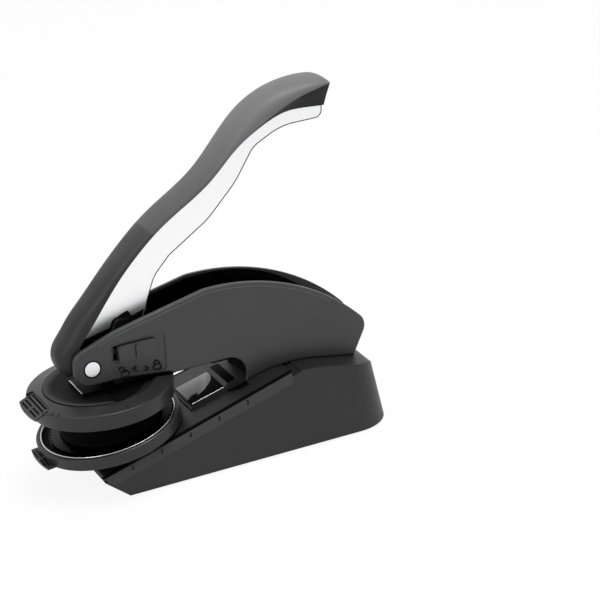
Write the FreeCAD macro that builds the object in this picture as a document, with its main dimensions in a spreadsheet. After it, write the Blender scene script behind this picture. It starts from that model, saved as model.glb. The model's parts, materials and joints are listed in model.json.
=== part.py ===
"""Desk seal embosser: a C-shaped lever press on a wedge base, drawn with its lever up.

Most sizes are taken from the axis of the lever's pivot pin: "back" is along +X from it, "up" or
"drop" along Z. The finished pieces stand on Z = 0 with the origin under the middle of the whole
press, lever up, +X to the rear, +Z up. Lengths are in millimetres and angles in degrees.
"""
import FreeCAD, Part

import math
import os
from types import SimpleNamespace

from FreeCAD import Placement, Rotation, Vector

DRIVING = {
    # where the pivot stands over the feet
    "pivot_height": 50.0,
    "pivot_forward": 47.1,
    # housing: two moulded halves around a channel
    "housing_half_width": 10.2,
    "housing_wall": 2.0,
    "housing_edge_round": 0.8,
    "nose_radius": 7.4,
    "crest_back": 48.6,
    "crest_height": 20.9,
    "tail_radius": 85.0,
    "tail_turn": 47.0,
    "tail_corner": 6.0,
    "throat_top": 10.3,
    "throat_back": 62.8,
    "throat_round": 7.0,
    # steel frame plates lying in pockets of the housing halves
    "frame_plate_thickness": 1.0,
    "frame_plate_inset": 1.2,
    "frame_clearance": 0.1,
    # base
    "base_half_width": 25.0,
    "base_draft": 8.9,
    "base_wall": 2.6,
    "base_lift": 0.8,
    "base_front": 4.4,
    "chin_back": -7.0,
    "chin_drop": 40.0,
    "shelf_slope": 14.8,
    "shelf_end": 80.0,
    "base_back": 120.0,
    "base_corner": 16.0,
    "base_tail_drop": 24.0,
    "jaw_pad_width": 18.0,
    "jaw_pad_rise": 1.5,
    "seam_width": 1.3,
    "seam_depth": 1.0,
    "bottom_plate_thickness": 1.5,
    "bottom_plate_recess": 0.3,
    "foot_radius": 5.5,
    "foot_forward_inset": 14.0,
    "foot_side_inset": 8.0,
    "screw_radius": 1.5,
    "screw_head_radius": 2.8,
    "screw_head_height": 1.6,
    "boss_radius": 3.6,
    # pins
    "pin_radius": 3.0,
    "pin_fit": 0.05,
    "hinge_pin_radius": 1.25,
    "washer_thickness": 1.0,
    "hinge_back": 40.8,
    "hinge_drop": 7.6,
    # dies and their holders
    "die_radius": 20.5,
    "die_fit": 0.2,
    "ring_fit": 0.3,
    "holder_rim": 3.8,
    "seat_shift": 1.3,
    "holder_height": 5.2,
    "holder_floor": 1.2,
    "die_proud": 1.2,
    "ring_width": 4.2,
    "ring_thickness": 2.0,
    "ring_teeth": 60,
    "ring_tooth_depth": 0.8,
    "upper_back": 5.7,
    "upper_drop": 18.0,
    "upper_tilt": 2.1,
    "press_angle": 7.0,
    "closed_gap": 5.3,
    "cap_edge_wall": 3.4,
    "cap_ridge_wall": 3.8,
    "cap_wall_height": 6.6,
    "cap_bevel_run": 6.4,
    "cap_bevel_height": 1.4,
    "cap_dish_run": 3.7,
    "cap_dish_depth": 1.0,
    "tab_half_width": 9.6,
    "tab_reach": 31.4,
    "tab_bow": 46.0,
    "tab_thickness": 0.9,
    "groove_width": 0.7,
    "groove_depth": 0.6,
    "plinth_radius": 12.0,
    "plinth_height": 6.0,
    "plinth_back": 1.5,
    # press linkage
    "arm_thickness": 2.4,
    "arm_half_width": 7.7,
    "arm_front": -4.4,
    "roller_radius": 2.4,
    "roller_pin_radius": 1.0,
    "roller_back": 7.2,
    "running_gap": 0.3,
    "nose_cam_back": 8.6,
    "nose_cam_radius": 2.8,
    "nose_cam_drop": 0.8,
    # lever
    "lever_thickness": 5.4,
    "lever_hub_radius": 6.2,
    "grip_half_width": 7.7,
    "grip_palm_half_width": 11.0,
    "grip_slot_gap": 0.1,
    "grip_pin_radius": 1.2,
    "spring_wire": 0.9,
    "spring_gap": 0.5,
        "spring_pitch": 1.25,
    # lever lock
    "guide_back": 26.0,
    "guide_floor": 7.2,
    "lock_travel": 2.0,
    "button_front": 11.0,
    "button_back": 26.2,
    "button_top": 6.8,
    "button_low": 0.2,
    "button_gap": 0.3,
    "button_proud": 0.8,
    "ridge_width": 1.2,
    "ridge_height": 0.9,
    "panel_depth": 0.4,
    "tooth_front": 11.3,
    "tooth_back": 20.0,
    "tooth_top": 15.3,
    "tooth_inner": 3.3,
    "tooth_outer": 5.3,
}

size = SimpleNamespace(**DRIVING)
doc = FreeCAD.newDocument("SealEmbosser")
sheet = doc.addObject("Spreadsheet::Sheet", "Sizes")
for row, (alias, value) in enumerate(DRIVING.items(), start=1):
    sheet.set(f"A{row}", alias)
    sheet.set(f"B{row}", str(value))
    sheet.setAlias(f"B{row}", alias)
doc.recompute()

ACROSS = Vector(0, 1, 0)
subParts = []

# Sizes that follow from the driving ones.
channelHalf = size.housing_half_width - size.housing_wall
plateInner = channelHalf
plateOuter = channelHalf + size.frame_plate_thickness
slope = math.tan(math.radians(size.shelf_slope))
underside = size.base_lift - size.pivot_height
bottomPlateTop = underside + size.bottom_plate_recess + size.bottom_plate_thickness
footSide = size.base_half_width - size.foot_side_inset
hinge = Vector(size.hinge_back, 0, -size.hinge_drop)
dieSeat = size.die_radius + size.die_fit
ringSeat = dieSeat + size.ring_width + size.ring_fit
holderRadius = ringSeat + size.holder_rim
capRidge = ringSeat + size.cap_ridge_wall
capEdge = ringSeat + size.cap_edge_wall
capBevel = capRidge - size.cap_bevel_run
capDish = capBevel - size.cap_dish_run
leverHalf = size.lever_thickness / 2
tailTurn = math.radians(size.tail_turn)
tailReach = size.tail_radius * math.tan(tailTurn / 2)
tailTop = size.crest_back + 3 + tailReach
tailRun = tailReach + 0.8 * size.tail_corner
housingBack = tailTop + tailRun * math.cos(tailTurn)


# ---------------------------------------------------------------- helpers

def bind(item, **expressions):
    """Ties properties of an object to the sheet; a dot in a property's path is written as __."""
    for path, text in expressions.items():
        item.setExpression(path.replace("__", "."), text)
    return item


def tilted(back, up, angle):
    """The place of a piece drawn about its own Z axis: its rear edge is raised by the angle."""
    return Placement(Vector(back, 0, up), Rotation(ACROSS, -angle))


def finish(item, label, place=None):
    """Names a finished piece, moves it from the pivot's frame to the row's and lists it."""
    item.Label = label
    toRow = Placement(Vector(-size.pivot_forward, 0, size.pivot_height), Rotation())
    drawnInPlace = place is None and item.Placement.isIdentity()
    item.Placement = toRow.multiply(place or item.Placement)
    if drawnInPlace:
        bind(item, Placement__Base__x="-Sizes.pivot_forward", Placement__Base__z="Sizes.pivot_height")
    subParts.append(item)
    return item


def rounded(points):
    """A closed outline of (u, v, radius) corners: straight runs joined by tangent arcs."""
    count = len(points)
    starts, ends, arcs = [], [], []
    for index in range(count):
        u, v, radius = points[index]
        here = Vector(u, v, 0)
        before = Vector(points[index - 1][0], points[index - 1][1], 0)
        after = Vector(points[(index + 1) % count][0], points[(index + 1) % count][1], 0)
        back = (before - here).normalize()
        on = (after - here).normalize()
        halfTurn = math.acos(max(-1.0, min(1.0, back.dot(on)))) / 2
        if radius <= 0 or abs(math.pi / 2 - halfTurn) < 1e-4:
            starts.append(here)
            ends.append(here)
            arcs.append(None)
            continue
        reach = radius / math.tan(halfTurn)
        toCentre = (back + on).normalize()
        first = here + back * reach
        last = here + on * reach
        middle = here + toCentre * (radius / math.sin(halfTurn) - radius)
        starts.append(first)
        ends.append(last)
        arcs.append(Part.Arc(first, middle, last))
    edges = []
    for index in range(count):
        if arcs[index] is not None:
            edges.append(arcs[index])
        following = starts[(index + 1) % count]
        if (following - ends[index]).Length > 1e-5:
            edges.append(Part.LineSegment(ends[index], following))
    return edges


def circle(u, v, radius):
    """A full circle for a sketch."""
    return [Part.Circle(Vector(u, v, 0), Vector(0, 0, 1), radius)]


def sketchOn(body, role, edges, offset=None):
    """A sketch on one of a body's origin planes, moved along the plane's normal if asked."""
    plane = [item for item in body.Origin.OriginFeatures if item.Role == role][0]
    sketch = body.newObject("Sketcher::SketchObject", body.Name + "Sketch")
    sketch.AttachmentSupport = (plane, [""])
    sketch.MapMode = "FlatFace"
    if offset is not None:
        sketch.AttachmentOffset = offset
    sketch.addGeometry(edges, False)
    return sketch


def newBody(name):
    """An empty body."""
    return doc.addObject("PartDesign::Body", name)


def addPad(body, edges, length, side=0.0, role="XZ_Plane"):
    """Adds a pad whose middle stands off the plane by side along the plane's normal."""
    offset = Placement(Vector(0, 0, side), Rotation())
    sketch = sketchOn(body, role, edges, offset)
    pad = body.newObject("PartDesign::Pad", body.Name + "Pad")
    pad.Profile = sketch
    pad.SideType = "Symmetric"
    bind(pad, Length=length)
    sketch.Visibility = False
    return pad


def sidePlate(name, edges, length, side=0.0):
    """A flat piece cut to an outline seen from the side; side is its middle's distance to -Y."""
    body = newBody(name)
    addPad(body, edges, length, side)
    return body


def turned(name, edges):
    """A piece turned about its own Z axis from a half section."""
    body = newBody(name)
    sketch = sketchOn(body, "XZ_Plane", edges)
    revolution = body.newObject("PartDesign::Revolution", name + "Turn")
    revolution.Profile = sketch
    revolution.ReferenceAxis = (sketch, ["V_Axis"])
    revolution.Angle = 360
    return body


def rod(name, radius, length, centre, across=True):
    """A cylinder bound to the sheet, lying across the press or standing up from its centre."""
    item = doc.addObject("Part::Cylinder", name)
    bind(item, Radius=radius, Height=length)
    doc.recompute()
    if across:
        start = centre + Vector(0, item.Height.Value / 2, 0)
        item.Placement = Placement(start, Rotation(Vector(1, 0, 0), 90))
    else:
        item.Placement = Placement(centre, Rotation())
    return item


def block(name, low, high):
    """A box between two corners."""
    item = doc.addObject("Part::Box", name)
    item.Length = high.x - low.x
    item.Width = high.y - low.y
    item.Height = high.z - low.z
    item.Placement = Placement(low, Rotation())
    return item


def joined(name, items):
    """The union of several objects."""
    union = doc.addObject("Part::MultiFuse", name)
    union.Shapes = items
    union.Refine = True
    return union


def group(name, items):
    """Separate solids that share one node."""
    together = doc.addObject("Part::Compound", name)
    together.Links = items
    return together


def less(name, whole, tools):
    """An object with other objects cut away, one after another."""
    result = whole
    for index, tool in enumerate(tools):
        cut = doc.addObject("Part::Cut", f"{name}{index}")
        cut.Base = result
        cut.Tool = tool
        result = cut
    return result


# ---------------------------------------------------------------- outlines seen from the side

def shelf(back):
    """Height of the base's straight upper line at a distance behind the pivot."""
    return -size.chin_drop + (back - size.chin_back) * slope


def baseLine(back):
    """Height of the base's upper line, which falls again behind the shelf's end."""
    if back <= size.shelf_end:
        return shelf(back)
    crown = shelf(size.shelf_end)
    share = (back - size.shelf_end) / (size.base_back - 4 - size.shelf_end)
    return crown - share * (crown + size.base_tail_drop)


def baseTop():
    """The base's upper line from the throat's rear to the housing's tail, as rounded corners."""
    start = size.throat_back - 0.8
    tail = housingBack - 7
    return [
        (start, shelf(start), 0),
        (size.shelf_end, shelf(size.shelf_end), 60),
        (tail, baseLine(tail), 0),
    ]


def housingOutline():
    """The C of the housing from nose to tail, standing on the base."""
    foot = list(reversed(baseTop()))
    return rounded([
        (-size.nose_radius, 6.6, 5.4),
        (11.3, 13.1, 60),
        (size.crest_back, size.crest_height, 14),
        (tailTop, size.crest_height, size.tail_radius),
        (housingBack, size.crest_height - tailRun * math.sin(tailTurn), size.tail_corner),
        *foot,
        (size.throat_back, foot[-1][1] + 1.5, 0),
        (size.throat_back, -size.throat_top, size.throat_round),
        (33.2, -size.throat_top, 2),
        (30.8, -9.2, 4),
        (10.7, -6.9, 30),
        (-size.nose_radius, -7.0, 6.4),
    ])


def frameOutline():
    """The steel C: the housing's outline drawn smaller, going on under the dies as the lower jaw."""
    inset = size.frame_plate_inset
    jawBottom = bottomPlateTop + 0.6
    top = -size.base_wall - size.running_gap
    column = size.throat_back + 3.5
    rear = housingBack - 10
    crest = size.crest_height - inset
    under = -size.throat_top + 0.8
    return rounded([
        (-size.nose_radius + inset, 6.6 - inset, 4.2),
        (11.3, 13.1 - inset, 60),
        (size.crest_back, crest, 14),
        (tailTop - 6, crest, size.tail_radius - 25),
        (rear, -6.0, 10),
        (rear - 3, jawBottom, 4),
        (6.2, jawBottom, 1),
        (2, jawBottom + 3.6, 1),
        (2, shelf(2) + top, 2),
        (column, shelf(column) + top, 1.5),
        (column, under, size.throat_round),
        (33.2, under, 2),
        (30.8, -8.2, 4),
        (10.7, -5.9, 30),
        (-size.nose_radius + inset, -5.9, 5.2),
    ])


# ---------------------------------------------------------------- base

def wedge(name, inset):
    """The drafted wedge of the base; inset draws it smaller all round, open at the bottom."""
    half = size.base_half_width - inset
    body = newBody(name)
    plan = rounded([
        (-16.0, -half, 0),
        (size.base_back - inset, -half, size.base_corner - inset),
        (size.base_back - inset, half, size.base_corner - inset),
        (-16.0, half, 0),
    ])
    sketch = sketchOn(body, "XY_Plane", plan, Placement(Vector(0, 0, underside), Rotation()))
    pad = body.newObject("PartDesign::Pad", name + "Pad")
    pad.Profile = sketch
    pad.Length = 40
    bind(pad, TaperAngle="-Sizes.base_draft")
    chinRun = size.base_front - size.chin_back
    chinFall = -underside - size.chin_drop
    chinSlope = chinFall / chinRun
    shift = inset * math.hypot(chinRun, chinFall) / chinFall
    shelfDrop = inset / math.cos(math.radians(size.shelf_slope))
    chinBack = size.chin_back + (shift * chinSlope + shelfDrop) / (slope + chinSlope)
    tail = size.base_back - 4
    profile = sidePlate(name + "Profile", rounded([
        (size.base_front + shift + inset / chinSlope, underside - inset, 0),
        (chinBack, shelf(chinBack) - shelfDrop, 1.6),
        (size.shelf_end, shelf(size.shelf_end) - inset, 60),
        (tail - inset, -size.base_tail_drop - inset, 8 - inset),
        (size.base_back + 1 - inset, underside - inset, 0),
    ]), "4 * Sizes.base_half_width")
    both = doc.addObject("Part::Common", name + "Wedge")
    both.Base = body
    both.Tool = profile
    return both


def bossPlaces():
    """Where the base's four screw bosses stand: (back, side)."""
    front = size.foot_forward_inset
    rear = size.base_back - size.foot_forward_inset - 2
    return [(back, side * footSide) for back in (front, rear) for side in (-1, 1)]


def makeBase():
    """The moulded wedge, its pad under the throat, the dies' plinth, the bosses and the seam."""
    outer = wedge("baseOuter", 0.0)
    cavity = wedge("baseCavity", size.base_wall)
    low = size.throat_back - 24.8
    high = size.throat_back
    pads = []
    for step, half in enumerate((size.housing_half_width, size.jaw_pad_width / 2)):
        rise = size.jaw_pad_rise * (step + 1) / 2
        pads.append(sidePlate(f"jawPad{step}", rounded([
            (low + step * 0.8, shelf(low) - 1.0, 0),
            (low + step * 0.8, shelf(low) + rise, 0.6),
            (high - 9, shelf(high - 9) + rise, 0.6),
            (high - 8, shelf(high - 8) + rise + 1.2, 0.6),
            (high - 0.9, shelf(high) + rise + 0.6, 0),
            (high - 0.9, shelf(high) - 1.0, 0),
        ]), str(2 * half)))
    bosses = []
    for index, (back, side) in enumerate(bossPlaces()):
        top = baseLine(back) - size.base_wall / 2
        boss = doc.addObject("Part::Cylinder", f"baseBoss{index}")
        bind(boss, Radius="Sizes.boss_radius")
        boss.Height = top - bottomPlateTop
        boss.Placement = Placement(Vector(back, side, bottomPlateTop), Rotation())
        bosses.append(boss)
    plinth = doc.addObject("Part::Cylinder", "diePlinth")
    bind(plinth, Radius="Sizes.plinth_radius")
    plinth.Height = size.plinth_height
    below = Vector(size.plinth_back, 0, -size.holder_height - size.plinth_height)
    plinth.Placement = lowerPlace().multiply(Placement(below, Rotation()))
    solid = joined("baseSolid", [outer, plinth] + pads)
    whole = joined("baseWhole", [less("baseHollow", solid, [cavity])] + bosses)
    pilots = []
    for index, (back, side) in enumerate(bossPlaces()):
        pilot = doc.addObject("Part::Cylinder", f"basePilot{index}")
        bind(pilot, Radius="Sizes.screw_radius")
        pilot.Height = 9
        pilot.Placement = Placement(Vector(back, side, bottomPlateTop - 1), Rotation())
        pilots.append(pilot)
    seam = makeSeam()
    return finish(less("baseShell", whole, pilots + frameSlots() + [seam]), "base_shell")


def frameSlots():
    """Slots in the base's top that the frame plates pass through."""
    slots = []
    for index, side in enumerate((-1, 1)):
        low = min(side * (plateInner - 0.2), side * (plateOuter + 0.2))
        high = max(side * (plateInner - 0.2), side * (plateOuter + 0.2))
        slots.append(block(
            f"frameSlot{index}",
            Vector(size.throat_back + 2.0, low, -30),
            Vector(housingBack - 8.2, high, 0)))
    return slots


def makeSeam():
    """A shadow line round the base's flanks, just under the edge of its upper face."""
    band = sidePlate("seamBand", rounded([
        (size.chin_back - 4, shelf(size.chin_back - 4) - 1.2, 0),
        (size.shelf_end + 2, shelf(size.shelf_end + 2) - 1.2, 0),
        (size.shelf_end + 2, shelf(size.shelf_end + 2) - 1.2 - size.seam_width, 0),
        (size.chin_back - 4, shelf(size.chin_back - 4) - 1.2 - size.seam_width, 0),
    ]), "2 * Sizes.base_half_width + 2")
    core = wedge("seamCore", size.seam_depth)
    return less("seamRing", band, [core])


def makeBottomPlate():
    """The steel plate that closes the base, let into its underside."""
    gap = size.base_wall + 0.3
    half = size.base_half_width - gap
    low = underside + size.bottom_plate_recess
    body = newBody("bottomPlate")
    plan = rounded([
        (size.base_front + gap + 2.2, -half, 2),
        (size.base_back - gap - 0.6, -half, size.base_corner - gap),
        (size.base_back - gap - 0.6, half, size.base_corner - gap),
        (size.base_front + gap + 2.2, half, 2),
    ])
    addPad(body, plan, "Sizes.bottom_plate_thickness", low + size.bottom_plate_thickness / 2, "XY_Plane")
    holes = []
    for index, (back, side) in enumerate(bossPlaces()):
        holes.append(rod(f"plateHole{index}", "Sizes.screw_radius + Sizes.pin_fit", "9",
                         Vector(back, side, low - 3), across=False))
    return finish(less("bottomPlateDrilled", body, holes), "base_bottom_plate")


def makeFeet():
    """Four rubber discs stuck under the bottom plate, inboard of its screws."""
    low = -size.pivot_height
    top = underside + size.bottom_plate_recess
    feet = []
    for index, (back, side) in enumerate(bossPlaces()):
        toward = 11 if back < size.base_back / 2 else -11
        foot = rod(f"foot{index}", "Sizes.foot_radius", str(top - low),
                   Vector(back + toward, side * 0.95, low), across=False)
        feet.append(foot)
    return finish(group("feet", feet), "rubber_feet")


def makeBaseScrews():
    """Four screws that hold the bottom plate to the base's bosses."""
    screws = []
    top = underside + size.bottom_plate_recess
    for index, (back, side) in enumerate(bossPlaces()):
        head = rod(f"baseScrewHead{index}", "Sizes.screw_head_radius", "0.7",
                   Vector(back, side, top - 0.7), across=False)
        shank = rod(f"baseScrewShank{index}", "Sizes.screw_radius - 0.02", "9",
                    Vector(back, side, top - 0.1), across=False)
        screws.append(joined(f"baseScrew{index}", [head, shank]))
    return finish(group("baseScrews", screws), "base_screws")


# ---------------------------------------------------------------- housing and frame

def screwPlaces():
    """Centres of the two screws that pull the housing halves together: (back, up)."""
    return [(54.0, -3.4), (95.0, -6.0)]


def housingHalf(name, side):
    """One moulded half: outer skin, a rim around the pocket for the frame plate, pin holes."""
    middle = side * (channelHalf + size.housing_wall / 2)
    body = sidePlate(name, housingOutline(), "Sizes.housing_wall", middle)
    doc.recompute()
    outer = side * size.housing_half_width
    edges = []
    blank = body.Tip
    for index, edge in enumerate(blank.Shape.Edges, start=1):
        box = edge.BoundBox
        flat = abs(box.YMin + outer) < 1e-3 and abs(box.YMax + outer) < 1e-3
        if flat:
            edges.append(f"Edge{index}")
    roundOff = body.newObject("PartDesign::Fillet", name + "Round")
    roundOff.Base = (blank, edges)
    bind(roundOff, Radius="Sizes.housing_edge_round")
    return body


def framePocket(name, side):
    """The frame plate's outline with its clearance, as thick as the plate."""
    middle = side * (plateInner + size.frame_plate_thickness / 2 - 1)
    return sidePlate(name, frameOutline(), "Sizes.frame_plate_thickness + 2", middle)


def pinHoles(name, side, through):
    """Holes for the pivot pin, the hinge pin and, on one side, the screws."""
    holes = [rod(name + "Pivot", "Sizes.pin_radius + Sizes.pin_fit", "6",
                 Vector(0, -side * size.housing_half_width, 0))]
    seat = -side * (plateOuter - 2.7)
    holes.append(rod(name + "Hinge", "Sizes.hinge_pin_radius + Sizes.pin_fit", "6",
                     hinge + Vector(0, seat, 0)))
    if through:
        for index, (back, up) in enumerate(screwPlaces()):
            holes.append(rod(f"{name}Screw{index}", "Sizes.screw_radius + 0.1", "6",
                             Vector(back, -side * size.housing_half_width, up)))
    return holes


def makeLeftHousing():
    """The half with the lever lock: its panel, the button's slot and two hollow screw bosses."""
    shell = housingHalf("leftShell", 1)
    panel = sidePlate("lockPanel", rounded([
        (7.6, -3.6, 1.5), (30.0, -8.0, 1.5), (30.6, 8.4, 1.5), (8.0, 8.2, 1.5),
    ]), "2 * Sizes.panel_depth", size.housing_half_width)
    gap = size.button_gap
    slot = sidePlate("buttonSlot", rounded([
        (size.button_front - size.lock_travel - gap, size.button_low - gap, 1.2),
        (size.button_back + gap, size.button_low - gap, 1.2),
        (size.button_back + gap, size.button_top + gap, 1.2),
        (size.button_front - size.lock_travel - gap, size.button_top + gap, 1.2),
    ]), "8", size.housing_half_width)
    pocket = framePocket("leftPocket", 1)
    hollow = less("leftShellCut", shell, [panel, slot, pocket] + pinHoles("leftHole", 1, False))
    bosses = []
    bores = []
    bossFar = plateInner - 0.1
    for index, (back, up) in enumerate(screwPlaces()):
        reach = plateOuter + bossFar
        middle = Vector(back, (bossFar - plateOuter) / 2, up)
        bosses.append(rod(f"leftBoss{index}", "Sizes.boss_radius", str(reach), middle))
        bores.append(rod(f"leftBore{index}", "Sizes.screw_radius", str(reach - 2),
                         middle + Vector(0, 1.5, 0)))
    return finish(less("leftHousing", joined("leftWhole", [hollow] + bosses), bores), "left_housing")


def makeRightHousing():
    """The plain half, drilled for the screws."""
    shell = housingHalf("rightShell", -1)
    pocket = framePocket("rightPocket", -1)
    tools = [pocket] + pinHoles("rightHole", -1, True)
    return finish(less("rightHousing", shell, tools), "right_housing")


def makeFramePlate(side, label):
    """A steel C-shaped plate that takes the load of the press."""
    middle = side * (plateInner + size.frame_plate_thickness / 2)
    blank = sidePlate(label + "Blank", frameOutline(), "Sizes.frame_plate_thickness", middle)
    holes = pinHoles(label + "Hole", side, side < 0)
    if side > 0:
        for index, (back, up) in enumerate(screwPlaces()):
            holes.append(rod(f"{label}Boss{index}", "Sizes.boss_radius + Sizes.frame_clearance", "6",
                             Vector(back, -plateInner, up)))
        gap = size.button_gap + 0.4
        holes.append(sidePlate(label + "Window", rounded([
            (size.button_front - size.lock_travel - gap, size.button_low - gap, 1.2),
            (size.button_back + gap, size.button_low - gap, 1.2),
            (size.button_back + gap, size.button_top + gap, 1.2),
            (size.button_front - size.lock_travel - gap, size.button_top + gap, 1.2),
        ]), "6", plateInner))
    return finish(less(label + "Plate", blank, holes), label)


def makeHousingScrews():
    """Two screws from the right side into the left half's bosses."""
    screws = []
    outer = size.housing_half_width
    for index, (back, up) in enumerate(screwPlaces()):
        head = rod(f"housingHead{index}", "Sizes.screw_head_radius", "Sizes.screw_head_height",
                   Vector(back, outer + size.screw_head_height / 2, up))
        length = outer + plateInner - 4
        shank = rod(f"housingShank{index}", "Sizes.screw_radius - 0.02", str(length),
                    Vector(back, outer - length / 2 + 0.1, up))
        screws.append(joined(f"housingScrew{index}", [head, shank]))
    return finish(group("housingScrews", screws), "housing_screws")


def makePins():
    """The pivot pin, flush with both sides, and the pin that the upper die holder swings on."""
    pivot = rod("pivot", "Sizes.pin_radius", "2 * Sizes.housing_half_width", Vector(0, 0, 0))
    finish(pivot, "pivot_pin")
    length = 2 * (plateOuter - 0.1)
    swing = rod("swing", "Sizes.hinge_pin_radius", str(length), hinge)
    finish(swing, "die_hinge_pin")
    washers = []
    middle = plateInner - size.washer_thickness / 2
    for index, side in enumerate((-1, 1)):
        disc = rod(f"washerDisc{index}", "Sizes.pin_radius + 2.4", "Sizes.washer_thickness - 0.05",
                   Vector(0, side * middle, 0))
        hole = rod(f"washerHole{index}", "Sizes.pin_radius + Sizes.pin_fit", "3",
                   Vector(0, side * middle, 0))
        washers.append(less(f"washer{index}", disc, [hole]))
    finish(group("washers", washers), "hub_washers")


def makeAnvil():
    """The steel block between the frame plates that carries the lower die."""
    half = plateInner
    top = shelf(2) - size.base_wall - 0.6
    body = sidePlate("anvil", rounded([
        (6.2, bottomPlateTop + 0.8, 0),
        (24, bottomPlateTop + 0.8, 0.5),
        (24, top + 22 * slope, 0.5),
        (2.6, top + 0.6 * slope, 0.5),
        (2.6, bottomPlateTop + 4.0, 0),
    ]), str(2 * half))
    return finish(body, "anvil_block")


# ---------------------------------------------------------------- dies and holders

def upperPlace():
    """The upper holder's own frame: its lower edge's centre, its axis along Z."""
    return tilted(size.upper_back, -size.upper_drop, size.upper_tilt)


def lowerPlace():
    """The lower holder's frame, set so that the closed dies meet square and on one axis."""
    edge = Vector(size.upper_back, 0, -size.upper_drop)
    closed = hinge + Rotation(ACROSS, -size.press_angle).multVec(edge - hinge)
    angle = size.upper_tilt + size.press_angle
    axis = Rotation(ACROSS, -angle).multVec(Vector(0, 0, 1))
    centre = closed - axis * size.closed_gap
    return tilted(centre.x, centre.z, angle)


def toothedRing(name, low, high):
    """A clamp ring with square teeth round its outside."""
    inner = dieSeat
    outer = inner + size.ring_width
    teeth = size.ring_teeth
    points = []
    for index in range(teeth):
        for share, radius in ((0.0, outer), (0.5, outer), (0.5, outer - size.ring_tooth_depth),
                              (1.0, outer - size.ring_tooth_depth)):
            angle = 2 * math.pi * (index + share) / teeth
            points.append((radius * math.cos(angle), radius * math.sin(angle), 0))
    body = newBody(name)
    middle = (low + high) / 2
    edges = rounded(points) + circle(0, 0, inner)
    addPad(body, edges, str(high - low), middle, "XY_Plane")
    return body


def grooves(name, places, top, half, split):
    """Blocks that cut grooves across a tab at (distance in front, height) places."""
    tools = []
    for index, back in enumerate(places):
        floor = top(back) - size.groove_depth
        spans = [(-half, half)] if index < split else [(-half, -0.8), (0.8, half)]
        for number, (near, far) in enumerate(spans):
            tools.append(block(f"{name}Groove{index}{number}",
                               Vector(-back - size.groove_width / 2, near, floor),
                               Vector(-back + size.groove_width / 2, far, floor + 4)))
    return tools


def tab(name, start, startTop, tipTop):
    """A pull tab: a sloping plate with a bowed front edge, and the height of its upper face."""
    reach = size.tab_reach
    thick = size.tab_thickness

    def top(back):
        return tipTop + (reach - back) * (startTop - tipTop) / (reach - start)

    plate = sidePlate(name + "Plate", rounded([
        (-start, startTop - thick, 0),
        (-reach, tipTop - thick, 0.2),
        (-reach, tipTop, 0.3),
        (-start, startTop, 0),
    ]), "2 * Sizes.tab_half_width")
    bow = rod(name + "Bow", "Sizes.tab_bow", "40", Vector(size.tab_bow - reach, 0, -20), False)
    shaped = doc.addObject("Part::Common", name + "Shaped")
    shaped.Base = plate
    shaped.Tool = bow
    return shaped, top


def makeLowerHolder():
    """A round tray with a stepped rim and a pull tab; its die sits a little behind its middle."""
    outer = holderRadius
    depth = size.holder_height
    disc = turned("lowerDisc", rounded([
        (0, -depth, 0),
        (outer - 0.3, -depth, 0.6),
        (outer, -0.4, 0.5),
        (outer - 0.7, 0, 0.3),
        (outer - 1.5, 0, 0.2),
        (outer - 1.8, -1.0, 0),
        (ringSeat, -1.4, 0),
        (0, -1.4, 0),
    ]))
    shift = Placement(Vector(-size.seat_shift, 0, 0), Rotation())
    start = outer - 4
    plate, top = tab("lowerTab", start, -depth + 1.0, -depth + 1.4)
    whole = joined("lowerWhole", [disc, plate])
    cut = less("lowerGrooved", whole, grooves("lowerTab", (29.0, 30.3), top, 7.6, 0))
    moved = doc.addObject("Part::Compound", "lowerMoved")
    moved.Links = [cut]
    moved.Placement = shift
    seats = [
        rod("lowerRingSeat", str(ringSeat), "9", Vector(0, 0, -size.ring_thickness - 0.6), False),
        rod("lowerDieSeat", str(dieSeat), "9", Vector(0, 0, -depth + size.holder_floor), False),
    ]
    return finish(less("lowerHolder", moved, seats), "lower_die_holder", lowerPlace())


def makeLowerDie():
    """The counter-die, standing proud of its holder, with a stepped edge."""
    radius = size.die_radius
    floor = -size.holder_height + size.holder_floor
    die = turned("lowerDie", rounded([
        (0, floor, 0), (radius, floor, 0.3), (radius, size.die_proud - 0.8, 0.1),
        (radius - 0.8, size.die_proud, 0.3), (0, size.die_proud, 0),
    ]))
    finish(die, "lower_die", lowerPlace())
    low = -size.ring_thickness - 0.6
    ring = toothedRing("lowerRing", low, low + size.ring_thickness)
    finish(ring, "lower_die_ring", lowerPlace())


def makeUpperHolder():
    """The cap over the upper die: a drafted wall, a bevel, a dish and a pull tab in front."""
    wall = size.cap_wall_height
    bevel = size.cap_bevel_height
    dish = wall - size.cap_dish_depth
    cap = turned("upperCap", rounded([
        (0, dish, 0),
        (capDish, dish, 4.0),
        (capBevel, wall + bevel, 0.5),
        (capRidge, wall, 0.6),
        (capEdge, 0, 0.6),
        (ringSeat, 0, 0),
        (ringSeat, size.ring_thickness - 0.4, 0),
        (dieSeat, size.ring_thickness - 0.4, 0),
        (dieSeat, dish - size.holder_floor - 1.0, 0),
        (0, dish - size.holder_floor - 1.0, 0),
    ]))
    gap = size.housing_half_width + 0.8
    notch = block("capNotch", Vector(12, -gap, dish), Vector(36, gap, wall + 6))
    start = capBevel + 1.8
    plate, top = tab("upperTab", start, wall + 0.1, wall - 2.7)
    facet = sidePlate("capFacet", rounded([
        (-start, wall + 0.1, 0), (-size.tab_reach, wall - 2.7, 0),
        (-size.tab_reach, wall + 6, 0), (-start, wall + 6, 0),
    ]), "2 * Sizes.tab_half_width")
    whole = joined("upperWhole", [less("capNotched", cap, [notch, facet]), plate])
    tools = grooves("upperTab", (25.1, 26.6, 28.2, 29.7), top, 7.9, 2)
    return finish(less("upperHolder", whole, tools), "upper_die_holder", upperPlace())


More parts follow.
